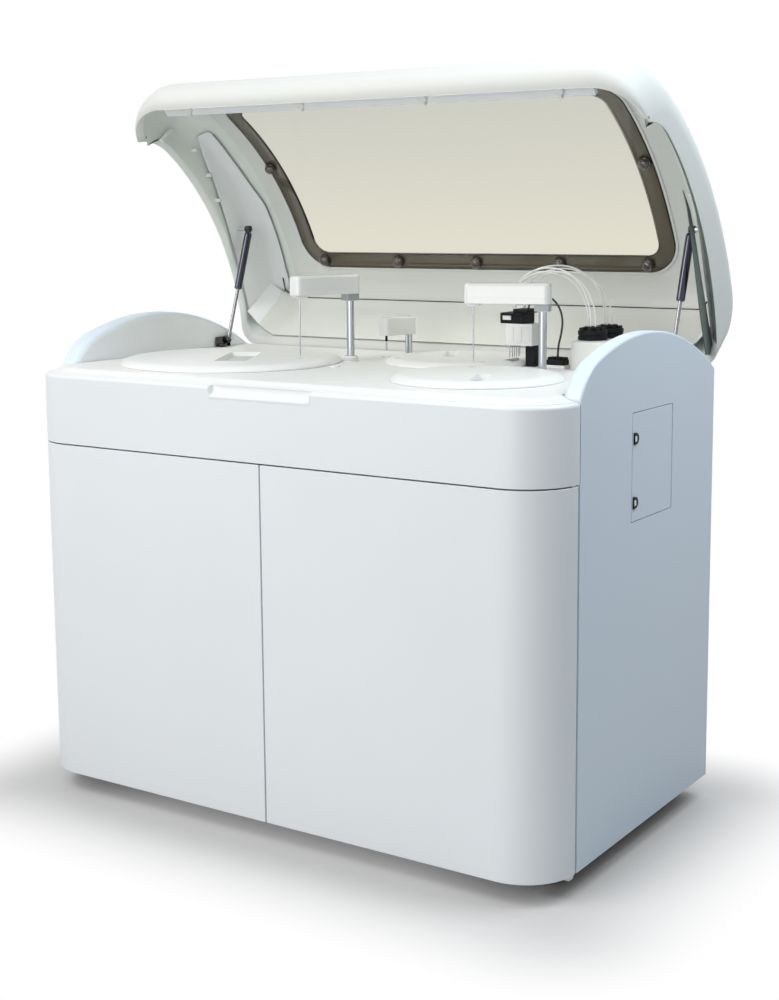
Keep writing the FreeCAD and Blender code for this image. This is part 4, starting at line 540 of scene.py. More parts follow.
def ear_arcs(grow):
    """Centres in depth and height, and radii, of the ear's two arcs, grown by a gap."""
    large = Vector((EAR_CROWN[0], EAR_CROWN[1] - EAR_RADIUS))
    between = EAR_RADIUS - EAR_FRONT_RADIUS
    line = Vector((108, SIDE_TOP)) - large
    reach = line.length
    along = (between ** 2 - EAR_FRONT_RADIUS ** 2 + reach ** 2) / (2 * reach)
    way = line.normalized()
    small = large + way * along + Vector((way.y, -way.x)) * math.sqrt(between ** 2 - along ** 2)
    return large, EAR_RADIUS + grow, small, EAR_FRONT_RADIUS + grow


def edge_height(depth, grow):
    """Height of the ears' curve at a depth; level in front of them."""
    large, radius, small, small_radius = ear_arcs(grow)
    level = SIDE_TOP + grow
    if depth < small.x - math.sqrt(small_radius ** 2 - (level - small.y) ** 2):
        return level
    join = large + (small - large).normalized() * radius
    centre, reach = (small, small_radius) if depth < join.x else (large, radius)
    return centre.y + math.sqrt(reach ** 2 - (depth - centre.x) ** 2)


def angle_of(vector):
    return math.degrees(math.atan2(vector.y, vector.x))


def side_outline(front, rear, low):
    large, radius, small, small_radius = ear_arcs(0)
    last = Vector((rear, edge_height(rear, 0)))
    first = Vector((front, edge_height(front, 0)))
    join = angle_of(small - large)
    return outline((front, low), (rear, low), tuple(last),
                   (*large, join - angle_of(last - large)),
                   (*small, angle_of(first - small) - join), steps=32)


def side_panel(side):
    """A flat skin that grows into a thick rounded ear beside the deck."""
    panel = move(raised(side_outline(110, DEPTH, 0), 0, 40), SIDEWAYS)
    for face, radius in ((0, 5), (40, 15)):
        soften(panel, radius, lambda m, way: m.z > 856 and abs(way.x) < 0.1
               and m.y < DEPTH - 1 and abs(m.x - face) < 0.1, segments=6, least_angle=1.2)
    tools = [block((18, 60, -5), (60, 800, SIDE_TOP))]
    if side == "right":
        tools.append(block((-5, 319, 604), (30, 501.5, 810)))
    panel = carved(panel, *tools)
    paint(panel, 1, lambda m, normal: normal.x > 0.9 and m.z > SIDE_TOP)
    if side == "right":
        move(panel, MIRROR)
    return piece(side + "_side_skin", "root", panel, [SHADED_SIDE_PAINT, LINER],
                 [side + "_side_panel"], edge=1.0)


def hatch():
    leaf = block((0, 320.5, 605.5), (6, 500, 808.5), 2.9,
                 lambda m, way: upright(m, way) and m.y > 400)
    leaf = joined(leaf, rod((3, 497, 597), (3, 497, 816), 1.5, 12))
    piece("hatch_leaf", "hatch", move(leaf, MIRROR), [SHADED_SIDE_PAINT],
          ["hatch_door"], edge=0.6)
    pads = []
    for height in (641, 761):
        pad = outline((0, 0), (8, 0), (8, 11, 180), (0, 22), steps=10)
        pad = move(raised(pad, 0, 3), Matrix.Translation((-3, 324, height - 11)) @ SIDEWAYS)
        soften(pad, 0.8, lambda m, way: m.x < -2.9, segments=2)
        slot = block((-3.2, 326, height - 5), (-2.4, 333, height + 5), 0.3, segments=1)
        pads += [pad, paint(slot, 1)]
    piece("hatch_latches", "hatch", move(joined(*pads), MIRROR), [BLACK, ZINC],
          ["hatch_catches"])


# Deck and covers

REAGENT, REACTION, SAMPLE = (314, 300), (745, 528), (950, 250)
COVERS = {"reagent": (*REAGENT, 235), "reaction": (*REACTION, 158), "sample": (*SAMPLE, 165)}
REAGENT_ARM, SAMPLE_ARM, MIXER = (526, 440), (988, 440), (570, 600)
# Each wash well's middle and depth
WELLS = {"reagent": (568, 323, 64), "sample": (854.26, 398.6, 64),
         "mixer": (550.95, 539.95, 40)}
ARM_TIPS = {"reagent": (477.35, 325.94), "sample": WELLS["sample"][:2]}
PROBE_HOLES = {
    "reagent": (ARM_TIPS["reagent"],),
    "reaction": ((649.9, 435.0), (848.1, 443.9), (615.0, 555.9)),
    "sample": ((881.8, 348.8),),
}
DECK_TOP, DECK_INSET = 862, 42
CUVETTE_RING = 133


def post(x, y, radius, low, high, rim=0.0, steps=48):
    return shifted(disc(radius, low, high, rim, steps), x, y, 0)


def deck_line(inset, height):
    """The deck's edge at one level: round in front, and narrower behind between the ears."""
    inset = min(inset, DECK_INSET)
    left = [Vector((DECK_INSET, 690, height)), Vector((DECK_INSET, 108, height)),
            Vector((inset, 108, height))]
    reach = CORNER - inset
    for step in range(CORNER_STEPS + 1):
        turn = math.pi / 2 * step / CORNER_STEPS
        left.append(Vector((CORNER - reach * math.cos(turn), CORNER - reach * math.sin(turn),
                            height)))
    return left + [Vector((WIDTH - p.x, p.y, p.z)) for p in reversed(left)]


# The deck's soft front edge: how far in and how high, up to its level top
DECK_EDGE = ((12, SIDE_TOP), (12, 852), (18, 853.2), (23, 854.6), (27, 856.6), (30, 859),
             (33.5, 861), (37, 861.8), (DECK_INSET, DECK_TOP))


def deck():
    plate = lofted([deck_line(*place) for place in DECK_EDGE], closed=True)
    for place in (DECK_EDGE[0], DECK_EDGE[-1]):
        plate.faces.new([plate.verts.new(p) for p in deck_line(*place)])
    bmesh.ops.remove_doubles(plate, verts=plate.verts[:], dist=0.01)
    bmesh.ops.dissolve_degenerate(plate, edges=plate.edges[:], dist=0.01)
    bmesh.ops.recalc_face_normals(plate, faces=plate.faces[:])
    tools = [post(x, y, radius - 10, 830, 880, steps=96) for x, y, radius in COVERS.values()]
    holes = [(REAGENT_ARM, 8.8), (SAMPLE_ARM, 8.8), (MIXER, 14)]
    holes += [((x, y), 9.4) for x, y, _ in WELLS.values()]
    tools += [post(*axis, radius, 830, 880) for axis, radius in holes]
    plate = carved(plate, *tools)
    piece("deck_plate", "root", plate, [DECK], ["work_deck"], edge=0.5)
    cups = []
    for x, y, depth in WELLS.values():
        low = DECK_TOP - depth
        cups.append(shifted(turned(((0, low), (9.1, low), (9.1, DECK_TOP), (10.4, DECK_TOP),
                                    (10.4, 864), (9.6, 865), (8.4, 865), (7.7, 864),
                                    (7.7, low + 1.4), (0, low + 1.4)), 40), x, y, 0))
    piece("wash_well_cups", "root", joined(*cups), [GLOSSY], ["wash_wells"])


COVER_LOW, COVER_TOP = 862.3, 875.3
# Each cover's sunk grip: its middle, width, length and turn
GRIPS = {"reagent": (334, 298, 84, 222, 29), "reaction": (698, 566, 34, 138, 27),
         "sample": (997, 180, 36, 128, 21)}


def cover(disc_name):
    """A lift-off lid: sloped soft rim, a sunk finger grip and holes for the probes."""
    x, y, radius = COVERS[disc_name]
    low, high = COVER_LOW, COVER_TOP
    lid = turned(((0, low), (radius - 1, low), (radius, low + 1), (radius - 0.4, low + 3.5),
                  (radius - 4, low + 7), (radius - 11, low + 10.8), (radius - 18, high - 0.5),
                  (radius - 24, high), (0, high)), 128)
    grip_x, grip_y, width, length, turn = GRIPS[disc_name]
    grip = block((-width / 2, -length / 2, high - 9), (width / 2, length / 2, high + 20), 9,
                 upright)
    for vert in grip.verts:
        if vert.co.z < high:
            vert.co.x *= 0.72
            vert.co.y *= 0.9
    move(grip, Matrix.Rotation(math.radians(turn), 4, "Z"))
    shifted(lid, x, y, 0)
    tools = [shifted(grip, grip_x, grip_y, 0)]
    tools += [post(px, py, 8, 850, 890, steps=32) for px, py in PROBE_HOLES[disc_name]]
    if disc_name == "reaction":
        ring = x + CUVETTE_RING
        tools.append(block((ring - 11, y - 33, 855), (ring + 11, y + 33, 890), 3, upright))
    lid = carved(lid, *tools)
    # The grip's floor gets the greyer finish: painted shade in the recess.
    paint(lid, 1, lambda m, normal: high - 10 < m.z < high - 8.9 and normal.z > 0.9
          and (m.xy - Vector((grip_x, grip_y))).length < length / 2)
    piece(disc_name + "_disc_lid", disc_name + "_cover", lid, [DECK, GRIP_SHADE],
          [disc_name + "_cover"], edge=0.9, angle=35)


# Arms


def case(reach, width, thickness, overhang):
    """A moulded arm cover along +X from its shaft, on z zero."""
    shell = block((-overhang, -width / 2, 0), (reach + overhang, width / 2, thickness))
    soften(shell, width * 0.3, upright, segments=8)
    soften(shell, width * 0.19, lambda m, way: m.z > thickness - 0.1, segments=5)
    soften(shell, 1.5, lambda m, way: m.z < 0.1, segments=2)
    return shell


def arm(name, axis, reach, turn, height):
    """A probe arm: case, collar and probe on one body, its lift shaft with it."""
    spin = Matrix.Translation((*axis, height)) @ Matrix.Rotation(math.radians(turn), 4, "Z")
    shell = case(reach, 38, 41, 17)
    collar = joined(disc(13, -15, 0, 1.5, 40),
                    paint(block((-15, -14.5, -14), (15, 14.5, -0.2), 3, upright), 1),
                    block((reach - 14, -12, -5), (reach + 12, 12, 0), 2))
    seams = [block((-8, side * 19.2 - 0.25, 12), (reach - 4, side * 19.2 + 0.25, 12.9), 0.2,
                   segments=1) for side in (-1, 1)]
    piece(name + "_case", name, move(joined(shell, collar, *seams), spin),
          [GLOSSY, GREY_PLASTIC], [name], edge=0.5)
    shaft = rod((*axis, 770.5), (*axis, height + 10), 8, 32, 0.6)
    piece(name + "_column", name, shaft, [STEEL], [name + "_shaft"])


def needles():
    for name, height in (("reagent", 1006), ("sample", 996)):
        x, y = ARM_TIPS[name]
        needle = turned(((0, 879), (0.5, 880), (0.9, 886), (1.6, 893), (1.6, height - 4),
                         (3.6, height - 4), (3.6, height - 0.5), (1.6, height),
                         (1.6, height + 10), (0, height + 10)), 20)
        piece(name + "_needle", name + "_arm", shifted(needle, x, y, 0), [STEEL],
              [name + "_probe"])


def shaft_boot(axis, radius, ribs):
    """The ribbed sleeve on the deck round an arm's shaft."""
    profile = [(9, DECK_TOP), (radius, DECK_TOP), (radius, DECK_TOP + 2)]
    for rib in range(ribs):
        low = DECK_TOP + 2.6 + rib * 4
        profile += [(radius - 2.5, low), (radius - 1.2, low + 0.8), (radius - 1.2, low + 2.2),
                    (radius - 2.5, low + 3)]
    top = DECK_TOP + 4 + ribs * 4
    profile += [(radius - 4, top), (9, top), (9, DECK_TOP)]
    return shifted(turned(profile, 40), *axis, 0)


def mixer():
    spin = Matrix.Translation((*MIXER, 911)) @ Matrix.Rotation(math.radians(252.4), 4, "Z")
    shell = case(63, 28, 39, 12)
    rods = []
    for side in (-1, 1):
        rods.append(paint(rod((0, side * 5.5, -166), (0, side * 5.5, 1), 4, 24), 1))
    plug = paint(disc(10, -170.7, -141, 0.8, 32), 2)
    piece("mixer_case", "mixer_arm", move(joined(shell, plug, *rods), spin),
          [GLOSSY, STEEL, BLACK], ["mixer_arm"], edge=0.5)
    x, y = WELLS["mixer"][:2]
    stem = turned(((0, 880), (1.2, 880), (1.2, 898), (2.6, 899), (2.6, 910.6), (1.2, 910.8),
                   (1.2, 920), (0, 920)), 20)
    paint(stem, 1, lambda m, normal: m.z > 897)
    blade = block((-2.5, -0.6, 879), (2.5, 0.6, 895), 0.5, upright)
    piece("stir_paddle", "mixer_paddle", shifted(joined(stem, blade), x, y, 0),
          [STEEL, BLACK], ["mixer_paddle"])


# Wash station, housing and manifolds

WASH_NEEDLE_ANGLES = [-9 + 3.6 * index for index in range(6)]


def wash_station():
    body = block((868, 502, 906), (930, 555, 950), 3, upright)
    for step in range(3):
        body = joined(body, block((872 + step * 19, 500.6, 912), (888 + step * 19, 503, 944),
                                  1.2))
    piece("wash_manifold_block", "wash_station", body, [GLOSSY], ["wash_head"],
          edge=0.8)
    bracket = block((856, 502, 950), (908, 555, 972), 2)
    bracket = carved(bracket, block((861, 490, 955), (905, 507, 967)))
    raised_end = block((884, 504, 971), (920, 553, 980), 3)
    bar = paint(block((860, 504, 957), (880, 509, 966), 1), 1)
    piece("wash_carrier", "wash_station", joined(bracket, raised_end, bar), [BLACK, GLOSSY],
          ["wash_bracket"], edge=0.8)
    pins = []
    for angle in WASH_NEEDLE_ANGLES:
        x = REACTION[0] + CUVETTE_RING * math.cos(math.radians(angle))
        y = REACTION[1] + CUVETTE_RING * math.sin(math.radians(angle))
        pins.append(shifted(turned(((0, 879), (0.6, 880), (1, 884), (1, 900), (2.2, 900.6),
                                    (2.2, 905.7), (1, 905.9), (1, 916), (0, 916)), 16),
                            x, y, 0))
    piece("wash_pins", "wash_station", joined(*pins), [STEEL],
          ["wash_needles"])


# Each arm's shaft, and the way from it to its guide rod in degrees
GUIDES = ((REAGENT_ARM, 33.4), (SAMPLE_ARM, 78.7), (MIXER, 157.6))


GUIDE_OFF = 32


def lift_posts():
    """The wash station's black post, and the steel guide rods on the bench plate."""
    post_body = block((905, 520.5, DECK_TOP), (926, 541.5, 932), 1.5, upright)
    rods = []
    for (x, y), turn in GUIDES:
        way = math.radians(turn)
        foot = turned(((0, 702), (16, 702), (16, 709), (15, 710), (6, 710), (6, 850.4),
                       (5.4, 851), (0, 851)), 32)
        rods.append(paint(shifted(foot, x + GUIDE_OFF * math.cos(way),
                                  y + GUIDE_OFF * math.sin(way), 0), 1))
    piece("lift_posts", "root", joined(post_body, *rods), [BLACK, STEEL],
          ["lift_columns"], edge=0.5)


HOUSING_TOP = 919


def housing():
    box = block((1012, 500, DECK_TOP), (1170, 676, HOUSING_TOP))
    soften(box, 18, lambda m, way: upright(m, way) and m.x < 1020, segments=8)
    soften(box, 4, lambda m, way: m.z > HOUSING_TOP - 1)
    piece("tube_housing", "root", box, [MOULDED], ["raised_housing"], edge=1)


def manifold(x, y):
    """A low black drum with a castellated cap that the tubes plug into."""
    drum = turned(((0, 0), (29, 0), (30, 1), (30, 7), (28.6, 8), (28.6, 10), (30, 11),
                   (30, 17.5), (28.5, 20), (0, 20)), 48)
    parts = [drum, disc(18, 19.5, 27, 1, 32)]
    for index in range(9):
        turn = Matrix.Rotation(math.radians(index * 40), 4, "Z")
        parts.append(move(block((19, -4, 19), (27, 4, 24.5), 0.8, segments=2), turn))
    return shifted(joined(*parts), x, y, HOUSING_TOP)


def manifolds():
    drums = [manifold(1038, 560), manifold(1041, 628)]
    plinth = paint(block((958, 506, DECK_TOP), (1002, 534, 869), 2), 1)
    plug = block((960, 508, 869), (1000, 532, 880), 2)
    ridges = [block((962 + 6.4 * index, 509, 879), (966 + 6.4 * index, 531, 885), 0.8,
                    segments=2) for index in range(6)]
    piece("tube_junctions", "root", joined(*drums, plinth, plug, *ridges), [BLACK, DECK],
          ["tube_manifolds"], edge=0.4)


# Lid

HOOD_FRONT_RADIUS, HOOD_EDGE_RADIUS, HOOD_REAR_RADIUS, HOOD_CORNER = 110, 80, 80, 107
HOOD_REAR_CORNER = 40
HOOD_CROWN = (443, 1100)
HOOD_FRONT_TOP = 891
HOOD_BACK = 700
HOOD_GAP = 6
ASIDE, DROP = HOOD_FRONT_RADIUS - HOOD_CROWN[0], HOOD_CROWN[1] - HOOD_FRONT_TOP
ROOF_RADIUS = ((ASIDE ** 2 + DROP ** 2 - HOOD_FRONT_RADIUS ** 2)
               / (2 * (DROP - HOOD_FRONT_RADIUS)))
ROOF_CENTRE = Vector((HOOD_CROWN[0], HOOD_CROWN[1] - ROOF_RADIUS))


def arc_points(centre, radius, start, end, count):
    """Points along an arc in depth and height, without its first point."""
    return [centre + radius * Vector((math.cos(a), math.sin(a)))
            for a in (start + (end - start) * (k + 1) / count for k in range(count))]


def hood_line(across, front, lowered, back, lip=0.0, gap=HOOD_GAP):
    """The hood's section at one place across, from its front lower edge to its back one."""
    radius = ROOF_RADIUS - lowered

    def centre(depth, small):
        return Vector((depth, ROOF_CENTRE.y
                       + math.sqrt((radius - small) ** 2 - (depth - ROOF_CENTRE.x) ** 2)))

    fore = centre(front + HOOD_FRONT_RADIUS, HOOD_FRONT_RADIUS)
    rear = centre(back - HOOD_REAR_RADIUS, HOOD_REAR_RADIUS)
    fore_angle = math.atan2(fore.y - ROOF_CENTRE.y, fore.x - ROOF_CENTRE.x)
    rear_angle = math.atan2(rear.y - ROOF_CENTRE.y, rear.x - ROOF_CENTRE.x)
    low, heel = edge_height(front + lip, gap), edge_height(back, gap)
    rise = fore.y - low
    points = []
    for k in range(9):
        turn = math.pi / 2 * min(k / 7, 1)
        share = (1 - math.cos(turn)) * (0.92 if lip else 1) if k < 8 else 1
        points.append(Vector((front + lip * (1 - math.sin(turn)), low + rise * share)))
    points += arc_points(fore, HOOD_FRONT_RADIUS, math.pi, fore_angle, 12)
    points += arc_points(ROOF_CENTRE, radius, fore_angle, rear_angle, 30)
    points += arc_points(rear, HOOD_REAR_RADIUS, rear_angle, 0, 10)
    points += [Vector((back, rear.y + (heel - rear.y) * (k + 1) / 3)) for k in range(3)]
    return [Vector((across, p.x, p.y)) for p in points]


def corner_inset(radius, across):
    if across >= radius:
        return 0
    return radius - math.sqrt(radius ** 2 - (radius - across) ** 2)


HOOD_STEPS = 12


def hood_sections(side, front, top, back, lip=0.0, gap=HOOD_GAP):
    """Sections of the hood, or of an inner surface drawn in from it, from left to right."""
    edge = HOOD_EDGE_RADIUS - side
    corner = HOOD_CORNER - side
    rear_corner = HOOD_REAR_CORNER - side / 2
    places = []
    for step in range(HOOD_STEPS + 1):
        angle = math.pi / 2 * step / HOOD_STEPS
        places.append((edge * (1 - math.cos(angle)), edge * (1 - math.sin(angle))))
    places += [(edge + (corner - edge) * k / 3, 0) for k in (1, 2, 3)]
    left = []
    for across, lowered in places:
        inset = corner_inset(corner, across)
        left.append((side + across, front + inset, top + lowered,
                     HOOD_BACK - back - corner_inset(rear_corner, across),
                     lip * (1 - 0.75 * inset / corner)))
    right = [(WIDTH - across, *rest) for across, *rest in reversed(left)]
    return [hood_line(*section, gap) for section in left + right]


CHEEK_STEPS = 48


def cheek_edge(line):
    """Points along the cheek's free lower edge, from a section's front foot to its heel."""
    first, last = line[0], line[-1]
    gap = last.z - edge_height(last.y, 0)
    points = [first]
    for k in range(1, CHEEK_STEPS):
        depth = first.y + (last.y - first.y) * k / CHEEK_STEPS
        points.append(Vector((first.x, depth, edge_height(depth, gap))))
    return points + [last]


RIM_GAP = 15
RIM_DROP = Vector((0, 0, -3.5))


def rim(outside, inside, steps=7):
    """The rounded lower edge between the outer skin's foot and the inner skin's."""
    rows = []
    for k in range(steps + 1):
        t = k / steps
        row = []
        for start, end in zip(outside, inside):
            drop, toe = start + RIM_DROP, start.lerp(end, 0.5) + RIM_DROP
            row.append(start * (1 - t) ** 3 + drop * 3 * t * (1 - t) ** 2
                       + toe * 3 * t * t * (1 - t) + end * t ** 3)
        rows.append(row)
    return lofted(rows)


def hood_skin(sections):
    """One surface of the hood with its cheeks, open below."""
    bm = lofted(sections)
    for ends in (sections[0], sections[-1]):
        bm.faces.new([bm.verts.new(p) for p in ends + cheek_edge(ends)[-2:0:-1]])
    return bm


WINDOW = (168, 130, 1072, 570)
WINDOW_ROUND = 34
# How far the hood's opening stands back from the clear part, and the smoked border reaches out
OPENING_GROWS, BORDER_REACH = 15, 36


def cut_upright(bm, point, normal, inside=None):
    """Score the mesh with an upright plane, only where inside says."""
    faces = [f for f in bm.faces if inside is None or inside(f.calc_center_median())]
    geometry = set(faces)
    for face in faces:
        geometry.update(face.edges)
        geometry.update(face.verts)
    bmesh.ops.bisect_plane(bm, geom=list(geometry), dist=0.001, plane_co=(*point, 0),
                           plane_no=(*normal, 0))


# Everything higher belongs to the roof, which the window is cut into
ROOF_LOW = 880


def score_rounded(bm, low, high, radius, steps=12):
    """Score a rounded rectangle into the roof, and return a test for what is inside it."""
    (x0, y0), (x1, y1) = low, high
    roof = lambda m: m.z > ROOF_LOW and y0 - 90 < m.y < y1 + 90
    for x in (x0, x1, x0 + radius, x1 - radius):
        cut_upright(bm, (x, 0), (1, 0), roof)
    for y in (y0, y1, y0 + radius, y1 - radius):
        cut_upright(bm, (0, y), (0, 1),
                    lambda m: m.z > ROOF_LOW and x0 - 1 < m.x < x1 + 1)
    for sx, cx in ((-1, x0 + radius), (1, x1 - radius)):
        for sy, cy in ((-1, y0 + radius), (1, y1 - radius)):
            points = [Vector((cx + sx * radius * math.cos(math.pi / 2 * k / steps),
                              cy + sy * radius * math.sin(math.pi / 2 * k / steps)))
                      for k in range(steps + 1)]
            for one, other in zip(points, points[1:]):
                way = other - one
                cut_upright(bm, one, (way.y, -way.x),
                            lambda m: (m.x - cx) * sx > 0 and (m.y - cy) * sy > 0
                            and abs(m.x - cx) < radius and abs(m.y - cy) < radius
                            and m.z > ROOF_LOW)

    def inside(m):
        if not (x0 < m.x < x1 and y0 < m.y < y1 and m.z > ROOF_LOW):
            return False
        dx = max(x0 + radius - m.x, m.x - x1 + radius, 0)
        dy = max(y0 + radius - m.y, m.y - y1 + radius, 0)
        return dx * dx + dy * dy < radius * radius

    return inside


def grown_window(by):
    x0, y0, x1, y1 = WINDOW
    return (x0 - by, y0 - by), (x1 + by, y1 + by), WINDOW_ROUND + by


def drop_faces(bm, inside, where=True):
    """Delete the faces whose middles are inside, or are not."""
    bmesh.ops.delete(bm, geom=[f for f in bm.faces
                               if inside(f.calc_center_median()) == where], context="FACES")


def hood():
    """The hood: outer and inner skins joined along the lower edge and round the window."""
    lines = hood_sections(0, 0, 0, 0, 25), hood_sections(14, 27, 14, 14, 0, RIM_GAP)
    outer, inner = (hood_skin(sections) for sections in lines)
    for skin in (outer, inner):
        drop_faces(skin, score_rounded(skin, *grown_window(OPENING_GROWS)))
    paint(inner, 2)
    paint(inner, 1, lambda m, normal: m.x < 76 or m.x > WIDTH - 76)
    rims = [rim(*[[line[end] for line in sections] for sections in lines]) for end in (0, -1)]
    rims += [paint(rim(*[cheek_edge(sections[end]) for sections in lines]), 1)
             for end in (0, -1)]
    # The right cheek rim's inner faces get painted shade, dark like the gap behind them.
    paint(rims[3], 3, lambda m, normal: m.x < WIDTH - 3)
    whole = joined(outer, inner)
    opening = [e for e in whole.edges
               if e.is_boundary and all(at_window(v.co) for v in e.verts)]
    bmesh.ops.bridge_loops(whole, edges=opening)
    whole = joined(whole, *rims)
    clean(whole, 0.05)
    piece("hood_body", "lid", whole, [MOULDED, CHEEK, LINING, SHADE_STRIP],
          ["hood_shell"], LID, angle=46)


def at_window(point):
    """Whether a point is on the window's opening rather than on the lower edge."""
    (x0, y0), (x1, y1), _ = grown_window(OPENING_GROWS)
    return x0 - 1 < point.x < x1 + 1 and y0 - 1 < point.y < y1 + 1 and point.z > 940


def window():
    """The pane under the roof: clear inside the opening, smoked where it laps the hood."""
    skin = lofted(hood_sections(14.3, 27.3, 14.3, 14.3))
    lap_inside = score_rounded(skin, *grown_window(BORDER_REACH))
    hole_inside = score_rounded(skin, *grown_window(0))
    drop_faces(skin, lap_inside, False)
    bmesh.ops.recalc_face_normals(skin, faces=skin.faces[:])
    clear = skin.copy()
    drop_faces(clear, hole_inside, False)
    drop_faces(skin, hole_inside)
    for name, bm, material in (("window_pane", clear, PANE), ("window_border", skin, SMOKED)):
        thicken(piece(name, "lid", bm, [material], ["hood_window"], LID,
                      angle=60), 0.004)


def window_outline(by, below, steps=16, between=12):
    """Points round the window on a surface under the roof, with the way out of the roof."""
    (x0, y0), (x1, y1), radius = grown_window(by)
    corners = [Vector((x1 - radius, y1 - radius)), Vector((x0 + radius, y1 - radius)),
               Vector((x0 + radius, y0 + radius)), Vector((x1 - radius, y0 + radius))]
    places = []
    for index, corner in enumerate(corners):
        for k in range(steps + 1):
            turn = math.radians(90 * (index + k / steps))
            places.append(corner + radius * Vector((math.cos(turn), math.sin(turn))))
        left = places[-1]
        onward = left + corners[(index + 1) % 4] - corner
        places += [left.lerp(onward, k / between) for k in range(1, between)]
    return [roof_point(*place, below) for place in places]


def bead(places, radius, closed=False, sides=10):
    """A round cord of material along points, each with a way that its surface faces."""
    rings = []
    points = [point for point, _ in places]
    for index, (point, way) in enumerate(places):
        last = index + 1 == len(points)
        ahead = point if last and not closed else points[(index + 1) % len(points)]
        behind = points[index - 1] if closed or index else point
        side = (ahead - behind).normalized().cross(way).normalized()
        rings.append([point + radius * (way * math.cos(a) + side * math.sin(a))
                      for a in (2 * math.pi * k / sides for k in range(sides))])
    if closed:
        rings.append(rings[0])
    bm = lofted(rings, closed=True)
    bmesh.ops.remove_doubles(bm, verts=bm.verts[:], dist=0.001)
    bmesh.ops.holes_fill(bm, edges=[e for e in bm.edges if e.is_boundary])
    bmesh.ops.recalc_face_normals(bm, faces=bm.faces[:])
    return bm


def window_lip():
    """The white moulded lip and dark gasket that the window's border sits in."""
    lip = bead(window_outline(BORDER_REACH + 4, 15.5), 3.2, closed=True)
    gaskets = [paint(bead(window_outline(reach, 18.4), 0.7, closed=True, sides=6), 1)
               for reach in (0, BORDER_REACH - 0.5)]
    piece("window_lip", "lid", joined(lip, *gaskets), [MOULDED, BLACK], (), LID)


def roof_point(across, depth, below):
    """A place under the roof and the way straight down from it."""
    lean = math.asin((depth - ROOF_CENTRE.x) / (ROOF_RADIUS - below))
    way = Vector((0, math.sin(lean), math.cos(lean)))
    return Vector((across, ROOF_CENTRE.x, ROOF_CENTRE.y)) + way * (ROOF_RADIUS - below), way


def knobs():
    """Domed caps round the border, each on a flat collar."""
    caps = []
    rows = [(187 + index * 213, depth) for depth in (588, 107) for index in range(5)]
    for across, depth in rows + [(141, 322), (1093, 332)]:
        place, way = roof_point(across, depth, 18.6)
        cap = turned(((0, 0), (14, 0), (14, 1.2), (13, 2), (12.6, 2.4), (12.6, 6.5), (12.2, 9),
                      (10.8, 11.8), (8.4, 13.9), (4.6, 15.2), (0, 15.6)), 40)
        paint(cap, 1, lambda m, normal: m.z < 2.2)
        caps.append(move(cap, Matrix.Translation(place)
                         @ UP.rotation_difference(-way).to_matrix().to_4x4()))
    piece("window_caps", "lid", joined(*caps), [KNOB, BLACK],
          ["window_knobs"], LID)


def light():
    """The light bar inside the hood's front, with a black strip above it as painted shadow of
    the gap, and four round clips.
    """
    # The thin black block along the bar's front is painted shadow of the gap beside it.
    bar = joined(block((100, 28.8, 876), (1140, 55.3, 888), 3),
                 paint(block((102, 27.2, 877), (1138, 28.9, 889.5)), 2))
    clips = []
    for index in range(4):
        x = 620 + 300 * (index - 1.5)
        clips.append(paint(shifted(disc(10, 868, 876.5, 2, 32), x, 38, 0), 1))
        clips.append(paint(block((x - 3, 38, 870), (x + 3, 56, 877), 1), 1))
    piece("light_strip", "lid", joined(bar, *clips), [LINER, GLOSSY, BLACK],
          ["light_bar"], LID, edge=0.6)


# Trim inside the lid: cheek panels, a folded back sheet and their small fixings

# The cheek panel lies flat on the cheek and bends into the curve under the roof. A turn of zero
# is the flat part and ninety is the roof.
LINER_OFF, LINER_CURVE, LINER_CREASE = 20, 60, 34
# The lower edge: depth and turn on the curve, then depth and height on the flat
LINER_FRONT = ((188, 36), (191, 32), (225, 18), (259, 6), (278, 0))
LINER_LOW = ((278, 1006), (307, 1002), (446, 974), (584, 937), (655, 914))
# The upper edge: depth and turn
LINER_TOP = ((188, 56), (191, 61), (198, 62.5), (287, 61), (369, 65.5), (436, 76), (533, 73.5),
             (613, 71), (661, 74.5))
# The right cheek's dark strip, painted shade of the gap between panel and cheek: its place
# across, and the depth and height of its two edges
SHADE_STRIP_AT = 1219.5
SHADE_STRIP_EDGES = (((321, 956), (373, 963), (418, 958), (503, 940), (614, 919), (695, 905)),
              ((321, 956), (360, 955), (410, 944), (487, 920), (591, 890), (667, 872)))
REAR_ARC = Vector((602, 981.3))
SEAM_TURN = 30


def between(table, place):
    """A value read off a line of places and values."""
    for (x0, y0), (x1, y1) in zip(table, table[1:]):
        if place <= x1:
            return y0 + (y1 - y0) * (place - x0) / (x1 - x0)
    return table[-1][1]


def under_roof(depth, below):
    """Height of the surface that far under the roof, round the rear curve too."""
    radius = ROOF_RADIUS - below
    rear = Vector((HOOD_BACK - below - HOOD_REAR_RADIUS, 0))
    rear.y = ROOF_CENTRE.y + math.sqrt((radius - HOOD_REAR_RADIUS) ** 2
                                       - (rear.x - ROOF_CENTRE.x) ** 2)
    leave = ROOF_CENTRE.x + (rear.x - ROOF_CENTRE.x) * radius / (radius - HOOD_REAR_RADIUS)
    if depth > leave:
        return rear.y + math.sqrt(max(HOOD_REAR_RADIUS ** 2 - (depth - rear.x) ** 2, 0))
    return ROOF_CENTRE.y + math.sqrt(radius ** 2 - (depth - ROOF_CENTRE.x) ** 2)


def liner_point(depth, turn):
    """A place on the cheek panel, nearly flat up to the crease and round above it."""
    def round_part(degrees):
        a = math.radians(degrees)
        return Vector((LINER_OFF + LINER_CURVE * (1 - math.cos(a)), depth,
                       under_roof(depth, LINER_OFF) - LINER_CURVE * (1 - math.sin(a))))

    if turn >= LINER_CREASE:
        return round_part(turn)
    flat = round_part(0).lerp(round_part(LINER_CREASE), turn / LINER_CREASE)
    return flat.lerp(round_part(turn), 0.4)


